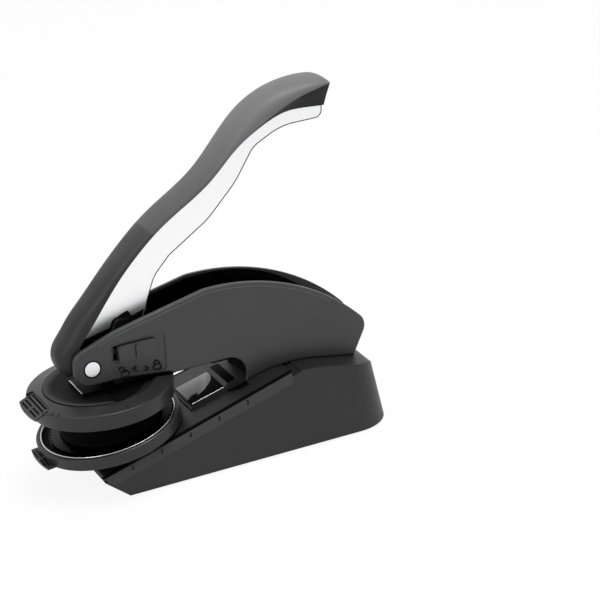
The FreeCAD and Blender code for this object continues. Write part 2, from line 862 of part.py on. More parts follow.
def makeUpperDie():
    """The engraved die, standing out of its holder's underside, and its clamp ring."""
    radius = size.die_radius
    dish = size.cap_wall_height - size.cap_dish_depth
    seatTop = dish - size.holder_floor - 1.0
    low = -(size.closed_gap - size.die_proud - 0.6)
    die = turned("upperDie", rounded([
        (0, low, 0), (radius - 0.8, low, 0.3), (radius, low + 0.8, 0.1),
        (radius, seatTop, 0.3), (0, seatTop, 0),
    ]))
    finish(die, "upper_die", upperPlace())
    ring = toothedRing("upperRing", 0.2 - 0.6, size.ring_thickness - 0.4)
    finish(ring, "upper_die_ring", upperPlace())


def dishLine(back):
    """Height of the upper holder's dish at a distance behind the pivot, lever up."""
    angle = math.radians(size.upper_tilt)
    dish = size.cap_wall_height - size.cap_dish_depth
    foot = size.upper_back - dish * math.sin(angle)
    level = -size.upper_drop + dish * math.cos(angle)
    return level + (back - foot) * math.tan(angle)


def rollerCentre():
    """The follower roller's axis, one running gap above the arm."""
    up = dishLine(size.roller_back) + size.arm_thickness + size.roller_radius + size.running_gap
    return Vector(size.roller_back, 0, up)


def makeUpperArm():
    """The steel arm on the upper holder: an eye at the hinge pin and a fork for the roller."""
    thick = size.arm_thickness
    eye = 2.5
    rear = hinge.x - 7
    bar = sidePlate("armBar", rounded([
        (size.arm_front, dishLine(size.arm_front), 0.5),
        (rear, dishLine(rear), 3),
        (hinge.x, hinge.z - eye, 0),
        (hinge.x, hinge.z, 0),
        (rear, dishLine(rear) + thick, 3),
        (size.arm_front, dishLine(size.arm_front) + thick, 0.5),
    ]), "2 * Sizes.arm_half_width")
    knuckle = rod("armEye", str(eye), "2 * Sizes.arm_half_width", hinge)
    roller = rollerCentre()
    ears = []
    thickness = 2.0
    for index, side in enumerate((-1, 1)):
        middle = side * (leverHalf + size.running_gap + thickness / 2)
        ears.append(sidePlate(f"armEar{index}", rounded([
            (roller.x - 2.6, dishLine(roller.x) + thick - 0.5, 0),
            (roller.x + 2.6, dishLine(roller.x) + thick - 0.5, 0),
            (roller.x + 2.2, roller.z + 2.0, 1.9),
            (roller.x - 2.2, roller.z + 2.0, 1.9),
        ]), str(thickness), middle))
    whole = joined("armWhole", [bar, knuckle] + ears)
    holes = [
        rod("armHingeHole", "Sizes.hinge_pin_radius + Sizes.pin_fit", "40", hinge),
        rod("armRollerHole", "Sizes.roller_pin_radius + 0.02", "40", roller),
    ]
    finish(less("upperArm", whole, holes), "upper_die_arm")
    wheel = rod("rollerWheel", "Sizes.roller_radius", "Sizes.lever_thickness", roller)
    bore = rod("rollerBore", "Sizes.roller_pin_radius + Sizes.pin_fit", "20", roller)
    finish(less("roller", wheel, [bore]), "press_roller")
    length = 2 * (leverHalf + size.running_gap + thickness)
    finish(rod("rollerPin", "Sizes.roller_pin_radius", str(length), roller), "roller_pin")


# ---------------------------------------------------------------- lever

def leverCrest(rise=0.0):
    """The lever plate's upper line, from the palm down to the hub, as rounded corners."""
    return [
        (104.5, 89.0 + rise, 4),
        (86.0, 88.6 + rise, 14),
        (72.0 - rise, 81.0 + rise, 20),
        (54.5 - rise, 63.0 + rise, 20),
        (31.0 - rise, 48.9 + rise, 20),
        (3.0 - rise, 22.6 + rise, 10),
        (-size.lever_hub_radius - rise, 8.0, 5),
    ]


def makeLeverPlate():
    """The flat steel lever: hub, cam nose and the long bar with a wide end under the palm."""
    hub = size.lever_hub_radius
    cam = size.nose_cam_radius
    camBack = size.nose_cam_back + cam
    camLow = -size.nose_cam_drop - cam
    plate = sidePlate("leverPlate", rounded([
        (-hub, -hub, hub - 0.1),
        (2.6, -hub, 3.2),
        (5.6, camLow, 1.5),
        (camBack, camLow, cam - 0.05),
        (camBack + 0.2, 0.8, 1.0),
        (16.5, 3.4, 8),
        (24.4, 10.0, 8),
        (27.2, 18.6, 20),
        (31.6, 28.6, 14),
        (38.6, 35.6, 10),
        (55.9, 46.3, 30),
        (68.6, 58.6, 40),
        (77.6, 71.4, 10),
        (89.8, 77.2, 24),
        (107.4, 77.2, 3),
        (107.4, 84.0, 2),
        *leverCrest(),
    ]), "Sizes.lever_thickness")
    holes = [rod("leverPivotHole", "Sizes.pin_radius + Sizes.pin_fit", "20", Vector(0, 0, 0))]
    for index, place in enumerate(gripPinPlaces()):
        holes.append(rod(f"leverGripHole{index}", "Sizes.grip_pin_radius + 0.02", "20", place))
    return finish(less("leverCut", plate, holes), "lever_plate")


def gripPinPlaces():
    """Centres of the cross pins that hold the grip on the lever."""
    return [Vector(76.5, 0, 81.4), Vector(93.0, 0, 86.4)]


def gripStations():
    """Sections along the grip: outer point, lower point and half width."""
    slim = size.grip_half_width
    palm = size.grip_palm_half_width
    return [
        ((-9.2, -2.9), (-4.6, -0.6), slim - 1.2),
        ((-12.2, 2.2), (-3.9, 2.6), slim - 0.4),
        ((-11.5, 7.0), (-2.8, 8.4), slim),
        ((-8.0, 11.6), (-0.4, 12.5), slim),
        ((-4.2, 16.9), (1.7, 13.8), slim),
        ((2.0, 23.4), (6.05, 19.85), slim),
        ((12.2, 33.7), (15.0, 31.0), slim),
        ((22.6, 43.7), (25.25, 41.2), slim),
        ((31.2, 50.65), (33.4, 48.1), slim + 0.2),
        ((43.45, 58.3), (45.1, 55.5), slim + 0.4),
        ((54.6, 65.75), (56.6, 63.2), slim + 0.8),
        ((64.1, 75.5), (66.9, 72.85), slim + 1.4),
        ((74.5, 86.4), (77.1, 79.4), palm - 1.5),
        ((88.8, 92.9), (89.7, 83.75), palm - 1.2),
        ((103.7, 94.1), (101.7, 84.2), palm - 1.4),
        ((112.3, 91.8), (107.7, 84.5), palm - 2.8),
    ]


def gripSection(body, number, outer, lower, half, inset):
    """One section: a flat foot, straight sides and a crowned top, square to the side view."""
    run = math.hypot(outer[0] - lower[0], outer[1] - lower[1])
    up = run - inset
    lean = math.degrees(math.atan2(outer[0] - lower[0], outer[1] - lower[1]))
    side = half - inset
    crown = min(0.62 * up, 4.2)
    shoulder = up - crown
    edges = [
        Part.LineSegment(Vector(side, 0, 0), Vector(side, shoulder, 0)),
        Part.BSplineCurve(),
        Part.LineSegment(Vector(-side, shoulder, 0), Vector(-side, 0, 0)),
        Part.LineSegment(Vector(-side, 0, 0), Vector(side, 0, 0)),
    ]
    edges[1].buildFromPoles([
        Vector(side, shoulder, 0),
        Vector(side, shoulder + 0.75 * crown, 0),
        Vector(0.62 * side, up, 0),
        Vector(-0.62 * side, up, 0),
        Vector(-side, shoulder + 0.75 * crown, 0),
        Vector(-side, shoulder, 0),
    ])
    place = Placement(Vector(0, lower[1], lower[0]), Rotation(Vector(1, 0, 0), lean))
    plane = [item for item in body.Origin.OriginFeatures if item.Role == "YZ_Plane"][0]
    sketch = body.newObject("Sketcher::SketchObject", f"{body.Name}Section{number}")
    sketch.AttachmentSupport = (plane, [""])
    sketch.MapMode = "FlatFace"
    sketch.AttachmentOffset = place
    sketch.addGeometry(edges, False)
    return sketch


def gripLoft(name, stations, inset):
    """A solid skinned through sections."""
    body = newBody(name)
    sketches = [gripSection(body, number, outer, lower, half, inset)
                for number, (outer, lower, half) in enumerate(stations)]
    loft = body.newObject("PartDesign::AdditiveLoft", name + "Loft")
    loft.Profile = sketches[0]
    loft.Sections = sketches[1:]
    return body


def makeGrip():
    """The moulded cover on the lever, hollow over the lock's tooth and slotted for the plate."""
    stations = gripStations()
    outer = gripLoft("gripOuter", stations, 0.0)
    wall = 1.3
    lowered = [((o[0], o[1]), (l[0] + 1.0 * (l[0] - o[0]) / 6, l[1] + 1.0 * (l[1] - o[1]) / 6), half)
               for o, l, half in stations[4:9]]
    hollow = gripLoft("gripHollow", lowered, wall)
    slot = sidePlate("gripSlot", rounded([
        (-size.lever_hub_radius - size.grip_slot_gap, -9.0, 0),
        (2.4, -9.0, 0),
        (8, 8, 0),
        (60, 50, 0),
        (90, 74, 0),
        (107.5, 74, 0),
        (107.5, 84.1, 2),
        *leverCrest(size.grip_slot_gap),
    ]), "Sizes.lever_thickness + 2 * Sizes.grip_slot_gap")
    tools = [hollow, slot]
    tools.append(rod("gripHubClear", "Sizes.pin_radius + 2.9", "2 * Sizes.housing_half_width",
                     Vector(0, 0, 0)))
    for index, place in enumerate(gripPinPlaces()):
        tools.append(rod(f"gripPinHole{index}", "Sizes.grip_pin_radius + 0.02", "12.4", place))
    finish(less("grip", outer, tools), "lever_grip")
    pins = [rod(f"gripPin{index}", "Sizes.grip_pin_radius", "12", place)
            for index, place in enumerate(gripPinPlaces())]
    return finish(group("gripPins", pins), "grip_pins")


def makeSpring():
    """Two torsion coils round the pivot pin, each with a leg in the notch of its guide."""
    wire = size.spring_wire
    radius = size.pin_radius + size.spring_gap + wire / 2
    start = leverHalf + size.running_gap + wire / 2
    advance = plateInner - size.washer_thickness - size.running_gap - wire / 2 - start
    helix = Part.makeHelix(wire * size.spring_pitch, advance, radius, 0, True)
    section = Part.Wire([Part.makeCircle(wire / 2, Vector(radius, 0, 0), ACROSS)])
    coil = Part.Wire(helix.Edges).makePipeShell([section], True, True)
    leg = Part.makeCylinder(wire / 2, size.guide_floor + 1.2, Vector(radius, 0, 0), ACROSS)
    near = coil.fuse(leg).Solids[0]
    near.Placement = Placement(Vector(0, -start, 0), Rotation(Vector(1, 0, 0), 90))
    far = near.mirror(Vector(0, 0, 0), ACROSS)
    spring = doc.addObject("Part::Feature", "returnSpring")
    spring.Shape = Part.makeCompound([near, far])
    return finish(spring, "return_spring")


# ---------------------------------------------------------------- lever lock

def makeGuide(side, label):
    """One of the two cheeks behind the pivot that the lever runs between."""
    front = 3.0
    inner = leverHalf + size.running_gap
    cheek = sidePlate(label + "Cheek", rounded([
        (front, size.guide_floor, 0.3),
        (size.guide_back, size.guide_floor, 0.6),
        (size.guide_back, 13.8, 0.8),
        (12.2, 10.2, 10),
        (front, size.guide_floor + 1.2, 0.3),
    ]), str(plateInner - inner), side * (plateInner + inner) / 2)
    coil = size.pin_radius + size.spring_gap + size.spring_wire
    notch = block(label + "Notch", Vector(front - 1, -side * 3.4 - 0.6, 0),
                  Vector(coil, -side * 3.4 + 0.6, 30))
    tools = [notch]
    if side > 0:
        tools.append(block(
            label + "ToothSlot",
            Vector(size.tooth_front - size.lock_travel - 0.4, -size.tooth_outer - 0.3, 0),
            Vector(size.tooth_back + 0.4, -inner + 1, 30)))
    return finish(less(label + "Cut", cheek, tools), label)


def makeLock():
    """The sliding button, the carrier behind it and the tooth that catches the closed lever."""
    outer = size.housing_half_width + size.button_proud
    button = sidePlate("button", rounded([
        (size.button_front, size.button_low, 1.0),
        (size.button_back, size.button_low, 1.0),
        (size.button_back, size.button_top, 1.0),
        (size.button_front, size.button_top, 1.0),
    ]), str(outer - plateInner + 0.2), (outer + plateInner - 0.2) / 2)
    middle = (size.button_front + size.button_back) / 2
    ridge = block(
        "buttonRidge",
        Vector(middle - size.ridge_width / 2, -outer - size.ridge_height, size.button_low + 0.8),
        Vector(middle + size.ridge_width / 2, -outer + 0.2, size.button_top - 0.8))
    finish(joined("lockButton", [button, ridge]), "lock_button")
    carrier = block(
        "carrierBar",
        Vector(size.tooth_front + 0.6, -plateInner + 0.2, 1.6),
        Vector(size.tooth_back - 0.6, -size.tooth_inner, 5.6))
    riser = sidePlate("toothRiser", rounded([
        (size.tooth_front + 0.6, 5.4, 0),
        (size.tooth_back - 0.6, 5.4, 0),
        (size.tooth_back - 0.2, 14.2, 0),
        (size.tooth_back, size.tooth_top - 0.4, 1.8),
        (size.tooth_front + 2.4, size.tooth_top, 1.8),
        (size.tooth_front, size.tooth_top - 4.6, 1.0),
    ]), str(size.tooth_outer - size.tooth_inner), (size.tooth_outer + size.tooth_inner) / 2)
    return finish(joined("lockTooth", [carrier, riser]), "lock_tooth")


def makeDetent():
    """A thin leaf spring under the left guide that holds the lock's carrier at either end."""
    low = size.guide_floor - 0.05
    thick = 0.3
    middle = (size.tooth_front + size.tooth_back) / 2
    body = sidePlate("detentLeaf", rounded([
        (6.6, low, 0), (middle - 4, low, 0.3), (middle, low - 1.2, 0.5), (middle + 4, low, 0.3),
        (22.0, low, 0), (22.0, low - thick, 0), (middle + 4, low - thick, 0.3),
        (middle, low - 1.2 - thick, 0.5), (middle - 4, low - thick, 0.3), (6.6, low - thick, 0),
    ]), "1.2", (size.tooth_outer + plateInner - 0.2) / 2)
    return finish(body, "lock_detent_spring")


# ---------------------------------------------------------------- build

makeBase()
makeBottomPlate()
makeFeet()
makeBaseScrews()
makeLeftHousing()
makeRightHousing()
makeFramePlate(1, "left_frame_plate")
makeFramePlate(-1, "right_frame_plate")
makeHousingScrews()
makePins()
makeAnvil()
makeLowerHolder()
makeLowerDie()
makeUpperHolder()
makeUpperDie()
makeUpperArm()
makeLeverPlate()
makeGrip()
makeSpring()
makeGuide(1, "left_lever_guide")
makeGuide(-1, "right_lever_guide")
makeLock()
makeDetent()
doc.recompute()

for item in doc.Objects:
    if "Invalid" in item.State or "Error" in item.State:
        raise RuntimeError(f"{item.Label} did not build")
for item in subParts:
    if item.Shape.isNull() or not item.Shape.isValid():
        raise RuntimeError(f"{item.Label} has no valid shape")

os.makedirs("parts", exist_ok=True)
for item in subParts:
    item.Shape.exportStep(f"parts/{item.Label}.step")
    box = item.Shape.BoundBox
    print(f"{item.Label}: {len(item.Shape.Solids)} solid, volume {item.Shape.Volume:.1f}, "
          f"x {box.XMin:.1f} to {box.XMax:.1f}, y {box.YMin:.1f} to {box.YMax:.1f}, "
          f"z {box.ZMin:.1f} to {box.ZMax:.1f}")
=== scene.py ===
import json

import bpy
import numpy as np
from mathutils import Matrix, Vector


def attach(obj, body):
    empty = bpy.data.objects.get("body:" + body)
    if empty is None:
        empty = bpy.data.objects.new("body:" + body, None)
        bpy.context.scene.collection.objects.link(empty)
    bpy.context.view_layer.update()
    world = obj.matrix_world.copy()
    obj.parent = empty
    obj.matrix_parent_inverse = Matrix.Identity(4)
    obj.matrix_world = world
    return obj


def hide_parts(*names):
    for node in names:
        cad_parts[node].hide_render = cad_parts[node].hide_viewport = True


# A hand press for raised seals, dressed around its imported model. Metres; x to the rear, z up.

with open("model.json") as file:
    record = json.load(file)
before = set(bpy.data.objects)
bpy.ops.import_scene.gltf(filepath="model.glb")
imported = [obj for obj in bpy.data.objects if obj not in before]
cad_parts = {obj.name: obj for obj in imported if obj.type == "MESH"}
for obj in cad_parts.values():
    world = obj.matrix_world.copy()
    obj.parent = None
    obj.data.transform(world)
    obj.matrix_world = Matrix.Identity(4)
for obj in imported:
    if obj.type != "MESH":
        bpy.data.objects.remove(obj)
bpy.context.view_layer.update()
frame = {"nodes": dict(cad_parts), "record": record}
nodes = frame["nodes"]
mm = 0.001
jointPlaces = {joint["name"]: joint for joint in frame["record"]["behaviour"]["joints"]}
pivot = np.array(jointPlaces["lever_pivot"]["pos_m"])   # shapes below are millimetres from this pin
print("frame loaded:", len(nodes), "nodes")


def linear(code):
    # sRGB hex to linear red, green, blue and one
    parts = [int(code[i:i + 2], 16) / 255 for i in (1, 3, 5)]
    return tuple(c / 12.92 if c <= 0.04045 else ((c + 0.055) / 1.055) ** 2.4 for c in parts) + (1.0,)


def addNode(tree, kind, links=None, **settings):
    # one node: settings are its properties, links its inputs, each a value or another node's socket
    node = tree.nodes.new(kind)
    for key, value in settings.items():
        setattr(node, key, value)
    for name, value in (links or {}).items():
        socket = node.inputs[name]
        if isinstance(value, bpy.types.NodeSocket):
            tree.links.new(value, socket)
        else:
            socket.default_value = value
    return node


def newMaterial(name):
    material = bpy.data.materials.new(name)
    material.use_nodes = True
    tree = material.node_tree
    return material, tree, tree.nodes["Principled BSDF"]


def dress(material, *names):
    # gives CAD nodes a finish
    for name in names:
        slots = nodes[name].data.materials
        for index in range(max(1, len(slots))):
            if len(slots) <= index:
                slots.append(material)
            else:
                slots[index] = material


# What each finish looks like: its colour, how dull it is, how much it reflects, and its grain in mm.
finishes = {
    "housing": dict(colour="#2b2b2c", dull=0.42, reflects=0.5, grain=0.35, depth=0.35),
    "base": dict(colour="#171718", dull=0.44, reflects=0.4, grain=0.35, depth=0.35),
    "holder": dict(colour="#222223", dull=0.32, reflects=0.3, grain=0.35, depth=0.15),
    "guide": dict(colour="#060606", dull=0.55, reflects=0.12, grain=0.6, depth=0.2),
    # die: near-black, the dies' own black made darker as painted shade, and the colour of the pieces of
    # painted shade
    "die": dict(colour="#030303", dull=0.6, reflects=0.03, grain=0.25, depth=0.4),
    # dish: near-black, painted shade in the upper holder's dish
    "dish": dict(colour="#090909", dull=0.5, reflects=0.06, grain=0.3, depth=0.2),
    "under": dict(colour="#111112", dull=0.5, reflects=0.2, grain=0.4, depth=0.2),
    "foot": dict(colour="#1a1a1a", dull=0.75, reflects=0.3, grain=0.8, depth=0.4),
    "marks": dict(colour="#0b0b0b", dull=0.6, reflects=0.15, grain=0.35, depth=0.1),
    # leaf: glossy black, for the plate shaped to the lit patch in the throat
    "leaf": dict(colour="#101011", dull=0.14, reflects=1.0, grain=0.35, depth=0.05),
    # band: paler than the base, painted light on the ruler strips
    "band": dict(colour="#2a2a2b", dull=0.44, reflects=0.4, grain=0.35, depth=0.35),
    # edge: paler than the housing, a painted highlight along its upper edges
    "edge": dict(colour="#4c4c4d", dull=0.42, reflects=0.5, grain=0.35, depth=0.35),
}
rubbedWidth = 14.0     # mm, how broad the patches are that handling has rubbed


def mouldedPlastic(name, look):
    # ABS, nylon or rubber from a spark-eroded mould: an even dark colour, a fine pebble drawn a little
    # coarse so that it shows, and broad patches that handling has made slightly shinier
    material, tree, shader = newMaterial(name)
    place = addNode(tree, "ShaderNodeTexCoord").outputs["Object"]
    pebble = addNode(tree, "ShaderNodeTexNoise",
                     {"Vector": place, "Scale": 1 / (look["grain"] * mm), "Detail": 3.0, "Roughness": 0.55})
    rubbed = addNode(tree, "ShaderNodeTexNoise",
                     {"Vector": place, "Scale": 1 / (rubbedWidth * mm), "Detail": 4.0, "Roughness": 0.6})
    shine = addNode(tree, "ShaderNodeMapRange",
                    {"Value": rubbed.outputs["Fac"], "From Min": 0.3, "From Max": 0.7,
                     "To Min": look["dull"] - 0.05, "To Max": look["dull"] + 0.06})
    shade = linear(look["colour"])
    tint = addNode(tree, "ShaderNodeMix", {"Factor": pebble.outputs["Fac"]}, data_type="RGBA")
    tint.inputs["A"].default_value = tuple(c * 0.9 for c in shade[:3]) + (1,)
    tint.inputs["B"].default_value = tuple(c * 1.1 for c in shade[:3]) + (1,)
    bump = addNode(tree, "ShaderNodeBump",
                   {"Height": pebble.outputs["Fac"], "Strength": look["depth"], "Distance": 0.02 * mm})
    tree.links.new(tint.outputs["Result"], shader.inputs["Base Color"])
    tree.links.new(shine.outputs["Result"], shader.inputs["Roughness"])
    tree.links.new(bump.outputs["Normal"], shader.inputs["Normal"])
    shader.inputs["IOR"].default_value = 1.53
    shader.inputs["Specular IOR Level"].default_value = look["reflects"]
    return material


# The cover's shades are painted light: dark round the hub as painted shade, lighter up towards the palm as a
# painted highlight, and a sudden step lighter where the cover bends and its face turns to the light.
gripLook = {
    "along": (746.0, 0.0, 666.0),      # up the cover: its dot product with a place in metres is in mm
    "paintedLightShades": [(0.0, "#0b0b0c"), (25.0, "#161617"), (54.4, "#333334"), (55.0, "#49494a"), (80.0, "#525253"),
               (110.0, "#6a6a6b"), (143.0, "#656566")],      # mm from the pin, and the shade there
    "dull": 0.5,
    "grain": 0.45,          # mm, the soft coating's own fine pebble
    "patch": 9.0,           # mm, how broad the rubbed places are
}


def softTouch():
    # soft-touch paint over ABS: velvety and dull, with painted shade dark round the hub and a painted
    # highlight lighter towards the palm, and a plain step of painted light where the cover bends
    material, tree, shader = newMaterial("softTouchGrip")
    place = addNode(tree, "ShaderNodeTexCoord").outputs["Object"]
    along = addNode(tree, "ShaderNodeVectorMath", {0: place, 1: gripLook["along"]}, operation="DOT_PRODUCT")
    start = float(pivot @ gripLook["along"])
    reach = gripLook["paintedLightShades"][-1][0]
    share = addNode(tree, "ShaderNodeMapRange", {"Value": along.outputs["Value"], "From Min": start,
                                                 "From Max": start + reach})
    ramp = addNode(tree, "ShaderNodeValToRGB", {"Fac": share.outputs["Result"]})
    stops = ramp.color_ramp.elements
    while len(stops) < len(gripLook["paintedLightShades"]):
        stops.new(0.5)
    for stop, (at, code) in zip(stops, gripLook["paintedLightShades"]):
        stop.position = at / reach
        stop.color = linear(code)
    pebble = addNode(tree, "ShaderNodeTexNoise",
                     {"Vector": place, "Scale": 1 / (gripLook["grain"] * mm), "Detail": 3.0})
    patches = addNode(tree, "ShaderNodeTexNoise",
                      {"Vector": place, "Scale": 1 / (gripLook["patch"] * mm), "Detail": 3.0})
    shine = addNode(tree, "ShaderNodeMapRange",
                    {"Value": patches.outputs["Fac"], "From Min": 0.3, "From Max": 0.7,
                     "To Min": gripLook["dull"] - 0.06, "To Max": gripLook["dull"] + 0.08})
    speckle = addNode(tree, "ShaderNodeMix", {"Factor": 0.1, "A": ramp.outputs["Color"],
                                              "B": pebble.outputs["Color"]},
                      data_type="RGBA", blend_type="MULTIPLY")
    bump = addNode(tree, "ShaderNodeBump",
                   {"Height": pebble.outputs["Fac"], "Strength": 0.25, "Distance": 0.02 * mm})
    tree.links.new(speckle.outputs["Result"], shader.inputs["Base Color"])
    tree.links.new(shine.outputs["Result"], shader.inputs["Roughness"])
    tree.links.new(bump.outputs["Normal"], shader.inputs["Normal"])
    shader.inputs["IOR"].default_value = 1.5
    shader.inputs["Specular IOR Level"].default_value = 0.4
    return material


metals = {
    "lever": dict(colour="#f4f4f5", dull=0.36, spacing=0.22, along=(1.0, 1.0, 0.04), lines=0.04),
    "pin": dict(colour="#e6e6e8", dull=0.24, spacing=0.3, along=(1.0, 0.05, 1.0), lines=0.12),
    "black": dict(colour="#0e0e0f", dull=0.5, spacing=0.3, along=(0.05, 1.0, 1.0), lines=0.12),
    "ring": dict(colour="#0d0d0e", dull=0.3, spacing=0.3, along=(1.0, 1.0, 0.2), lines=0.12),
    # bead: bright steel for the beads that are painted highlights
    "bead": dict(colour="#c4c4c6", dull=0.2, spacing=0.3, along=(1.0, 1.0, 1.0), lines=0.1),
    "wire": dict(colour="#9a9a9e", dull=0.28, spacing=0.2, along=(1.0, 1.0, 1.0), lines=0.1),
    # edge: dark steel, painted shade along the lever's lower edge
    "edge": dict(colour="#4a4a4c", dull=0.5, spacing=0.3, along=(1.0, 1.0, 1.0), lines=0.1),
}


def platedSteel(name, look):
    # steel brushed or turned before plating: fine lines one way and a soft, slightly streaked shine
    material, tree, shader = newMaterial(name)
    place = addNode(tree, "ShaderNodeTexCoord").outputs["Object"]
    stretched = addNode(tree, "ShaderNodeMapping", {"Vector": place, "Scale": look["along"]})
    lines = addNode(tree, "ShaderNodeTexNoise",
                    {"Vector": stretched.outputs["Vector"], "Scale": 1 / (look["spacing"] * mm),
                     "Detail": 2.0, "Roughness": 0.6})
    shine = addNode(tree, "ShaderNodeMapRange",
                    {"Value": lines.outputs["Fac"], "From Min": 0.3, "From Max": 0.7,
                     "To Min": look["dull"] - 0.04, "To Max": look["dull"] + 0.06})
    bump = addNode(tree, "ShaderNodeBump",
                   {"Height": lines.outputs["Fac"], "Strength": look["lines"], "Distance": 0.01 * mm})
    shader.inputs["Base Color"].default_value = linear(look["colour"])
    shader.inputs["Metallic"].default_value = 1.0
    tree.links.new(shine.outputs["Result"], shader.inputs["Roughness"])
    tree.links.new(bump.outputs["Normal"], shader.inputs["Normal"])
    return material


housingAbs = mouldedPlastic("housingAbs", finishes["housing"])
baseAbs = mouldedPlastic("baseAbs", finishes["base"])
holderAbs = mouldedPlastic("holderAbs", finishes["holder"])
guideNylon = mouldedPlastic("guideNylon", finishes["guide"])
dieResin = mouldedPlastic("dieResin", finishes["die"])
footRubber = mouldedPlastic("footRubber", finishes["foot"])
darkMark = mouldedPlastic("darkMark", finishes["marks"])
gripPaint = softTouch()
leverSteel = platedSteel("nickelPlatedLever", metals["lever"])
pinSteel = platedSteel("turnedPinSteel", metals["pin"])
blackSteel = platedSteel("blackZincSteel", metals["black"])
ringSteel = platedSteel("blackenedRing", metals["ring"])
highlightBeadSteel = platedSteel("highlightBead", metals["bead"])
springWire = platedSteel("springWire", metals["wire"])
shadedEdge = platedSteel("shadedEdgeSteel", metals["edge"])

dress(housingAbs, "left_housing", "right_housing", "lock_button")
dress(baseAbs, "base_shell")
dress(holderAbs, "upper_die_holder", "lower_die_holder")
dress(guideNylon, "left_lever_guide", "right_lever_guide", "lock_tooth", "hub_washers")
dress(dieResin, "upper_die", "lower_die")
dress(footRubber, "rubber_feet")
dress(leverSteel, "lever_plate")
dress(gripPaint, "lever_grip")
dress(pinSteel, "pivot_pin", "die_hinge_pin", "press_roller", "roller_pin", "grip_pins")
dress(blackSteel, "left_frame_plate", "right_frame_plate", "anvil_block", "upper_die_arm",
      "base_bottom_plate")
dress(ringSteel, "upper_die_ring", "lower_die_ring", "base_screws", "housing_screws")
dress(springWire, "return_spring", "lock_detent_spring")
print("finishes made")


def skinRings(rings, closed):
    # Faces over a stack of rings, each ring's points joined to the next ring's. Closed: the last ring
    # joins the first; otherwise one flat face closes each end. Turned so that the volume is positive.
    count, around = rings.shape[:2]
    points = rings.reshape(-1, 3)
    row = np.arange(count if closed else count - 1)[:, None]
    column = np.arange(around)[None, :]
    here, there = row * around, ((row + 1) % count) * around
    side = (column + 1) % around
    quads = np.stack([here + column, here + side, there + side, there + column], -1).reshape(-1, 4)
    faces = quads.tolist()
    corners = points[quads]
    volume = np.einsum("ij,ij->", corners[:, 0], np.cross(corners[:, 1], corners[:, 2]))
    volume += np.einsum("ij,ij->", corners[:, 0], np.cross(corners[:, 2], corners[:, 3]))
    if not closed:
        faces += [list(range(around))[::-1], list(range((count - 1) * around, count * around))]
        for ring, sign in ((rings[0], -1), (rings[-1], 1)):
            spokes = np.cross(ring[1:-1], ring[2:])
            volume += sign * float((spokes @ ring[0]).sum())
    if volume < 0:
        faces = [face[::-1] for face in faces]
    return points, faces


def addSkin(name, parts, material, body, crease=38.0):
    # one piece from several stacks of rings, in millimetres from the pin; edges sharper than crease
    # stay crisp
    points, faces, start = [], [], 0
    for rings, closed in parts:
        some, others = skinRings(np.asarray(rings, float), closed)
        points.append(some)
        faces += [[number + start for number in face] for face in others]
        start += len(some)
    mesh = bpy.data.meshes.new(name)
    mesh.from_pydata((np.concatenate(points) * mm + pivot).tolist(), [], faces)
    mesh.update()
    mesh.shade_smooth()
    mesh.set_sharp_from_angle(angle=np.radians(crease))
    piece = bpy.data.objects.new(name, mesh)
    bpy.context.scene.collection.objects.link(piece)
    piece.data.materials.append(material)
    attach(piece, body)
    return piece


def smoothThrough(knots, steps):
    # a natural cubic curve through rows of knots, spaced by the first two columns' chord lengths: the second
    # slopes come from one linear system, and the curve is read at even steps
    knots = np.asarray(knots, float)
    gaps = np.linalg.norm(np.diff(knots[:, :2], axis=0), axis=1)
    at = np.concatenate([[0], np.cumsum(gaps)])
    last = len(at) - 1
    inner = np.arange(1, last)
    system = np.eye(last + 1)
    system[inner, inner - 1] = gaps[:-1]
    system[inner, inner] = 2 * (gaps[:-1] + gaps[1:])
    system[inner, inner + 1] = gaps[1:]
    given = np.zeros_like(knots)
    given[1:-1] = 6 * np.diff(np.diff(knots, axis=0) / gaps[:, None], axis=0)
    bend = np.linalg.solve(system, given)
    where = np.linspace(0, at[-1], steps)
    cell = np.clip(np.searchsorted(at, where, side="right") - 1, 0, last - 1)
    run = gaps[cell][:, None]
    before = (at[cell + 1] - where)[:, None] / run
    after = 1 - before
    straight = before * knots[cell] + after * knots[cell + 1]
    curved = (before ** 3 - before) * bend[cell] + (after ** 3 - after) * bend[cell + 1]
    return straight + curved * run ** 2 / 6


def roundedLine(corners):
    # a line through (x, z, radius) corners, each rounded by an arc of that radius
    out = []
    for index, (x, z, radius) in enumerate(corners):
        here = np.array((x, z))
        if radius == 0 or index in (0, len(corners) - 1):
            out.append(here[None])
            continue
        before = np.array(corners[index - 1][:2]) - here
        after = np.array(corners[index + 1][:2]) - here
        before, after = before / np.linalg.norm(before), after / np.linalg.norm(after)
        half = np.arccos(np.clip(before @ after, -1, 1)) / 2
        middle = here + (before + after) / np.linalg.norm(before + after) * radius / np.sin(half)
        first, second = here + before * radius / np.tan(half), here + after * radius / np.tan(half)
        share = np.linspace(0, 1, 14)[:, None]
        spoke = (first - middle) * (1 - share) + (second - middle) * share
        out.append(middle + spoke / np.linalg.norm(spoke, axis=1)[:, None] * radius)
    return np.concatenate(out)


def tangents(path, closed):
    # unit directions along a path: each point's next neighbour less the one before it
    if closed:
        ahead = np.roll(path, -1, axis=0) - np.roll(path, 1, axis=0)
    else:
        ahead = np.gradient(path, axis=0)
    return ahead / np.linalg.norm(ahead, axis=1)[:, None]


def leftOf(path, closed=False):
    # unit directions square to an (x, z) path, on its left: a quarter turn from its tangents
    ahead = tangents(path, closed)
    return np.stack([-ahead[:, 1], ahead[:, 0]], 1)


def atSide(flat, side):
    # (x, z) points lifted into the room at a distance to the side, one for all or one for each
    return np.column_stack([flat[:, 0], np.broadcast_to(side, len(flat)), flat[:, 1]])


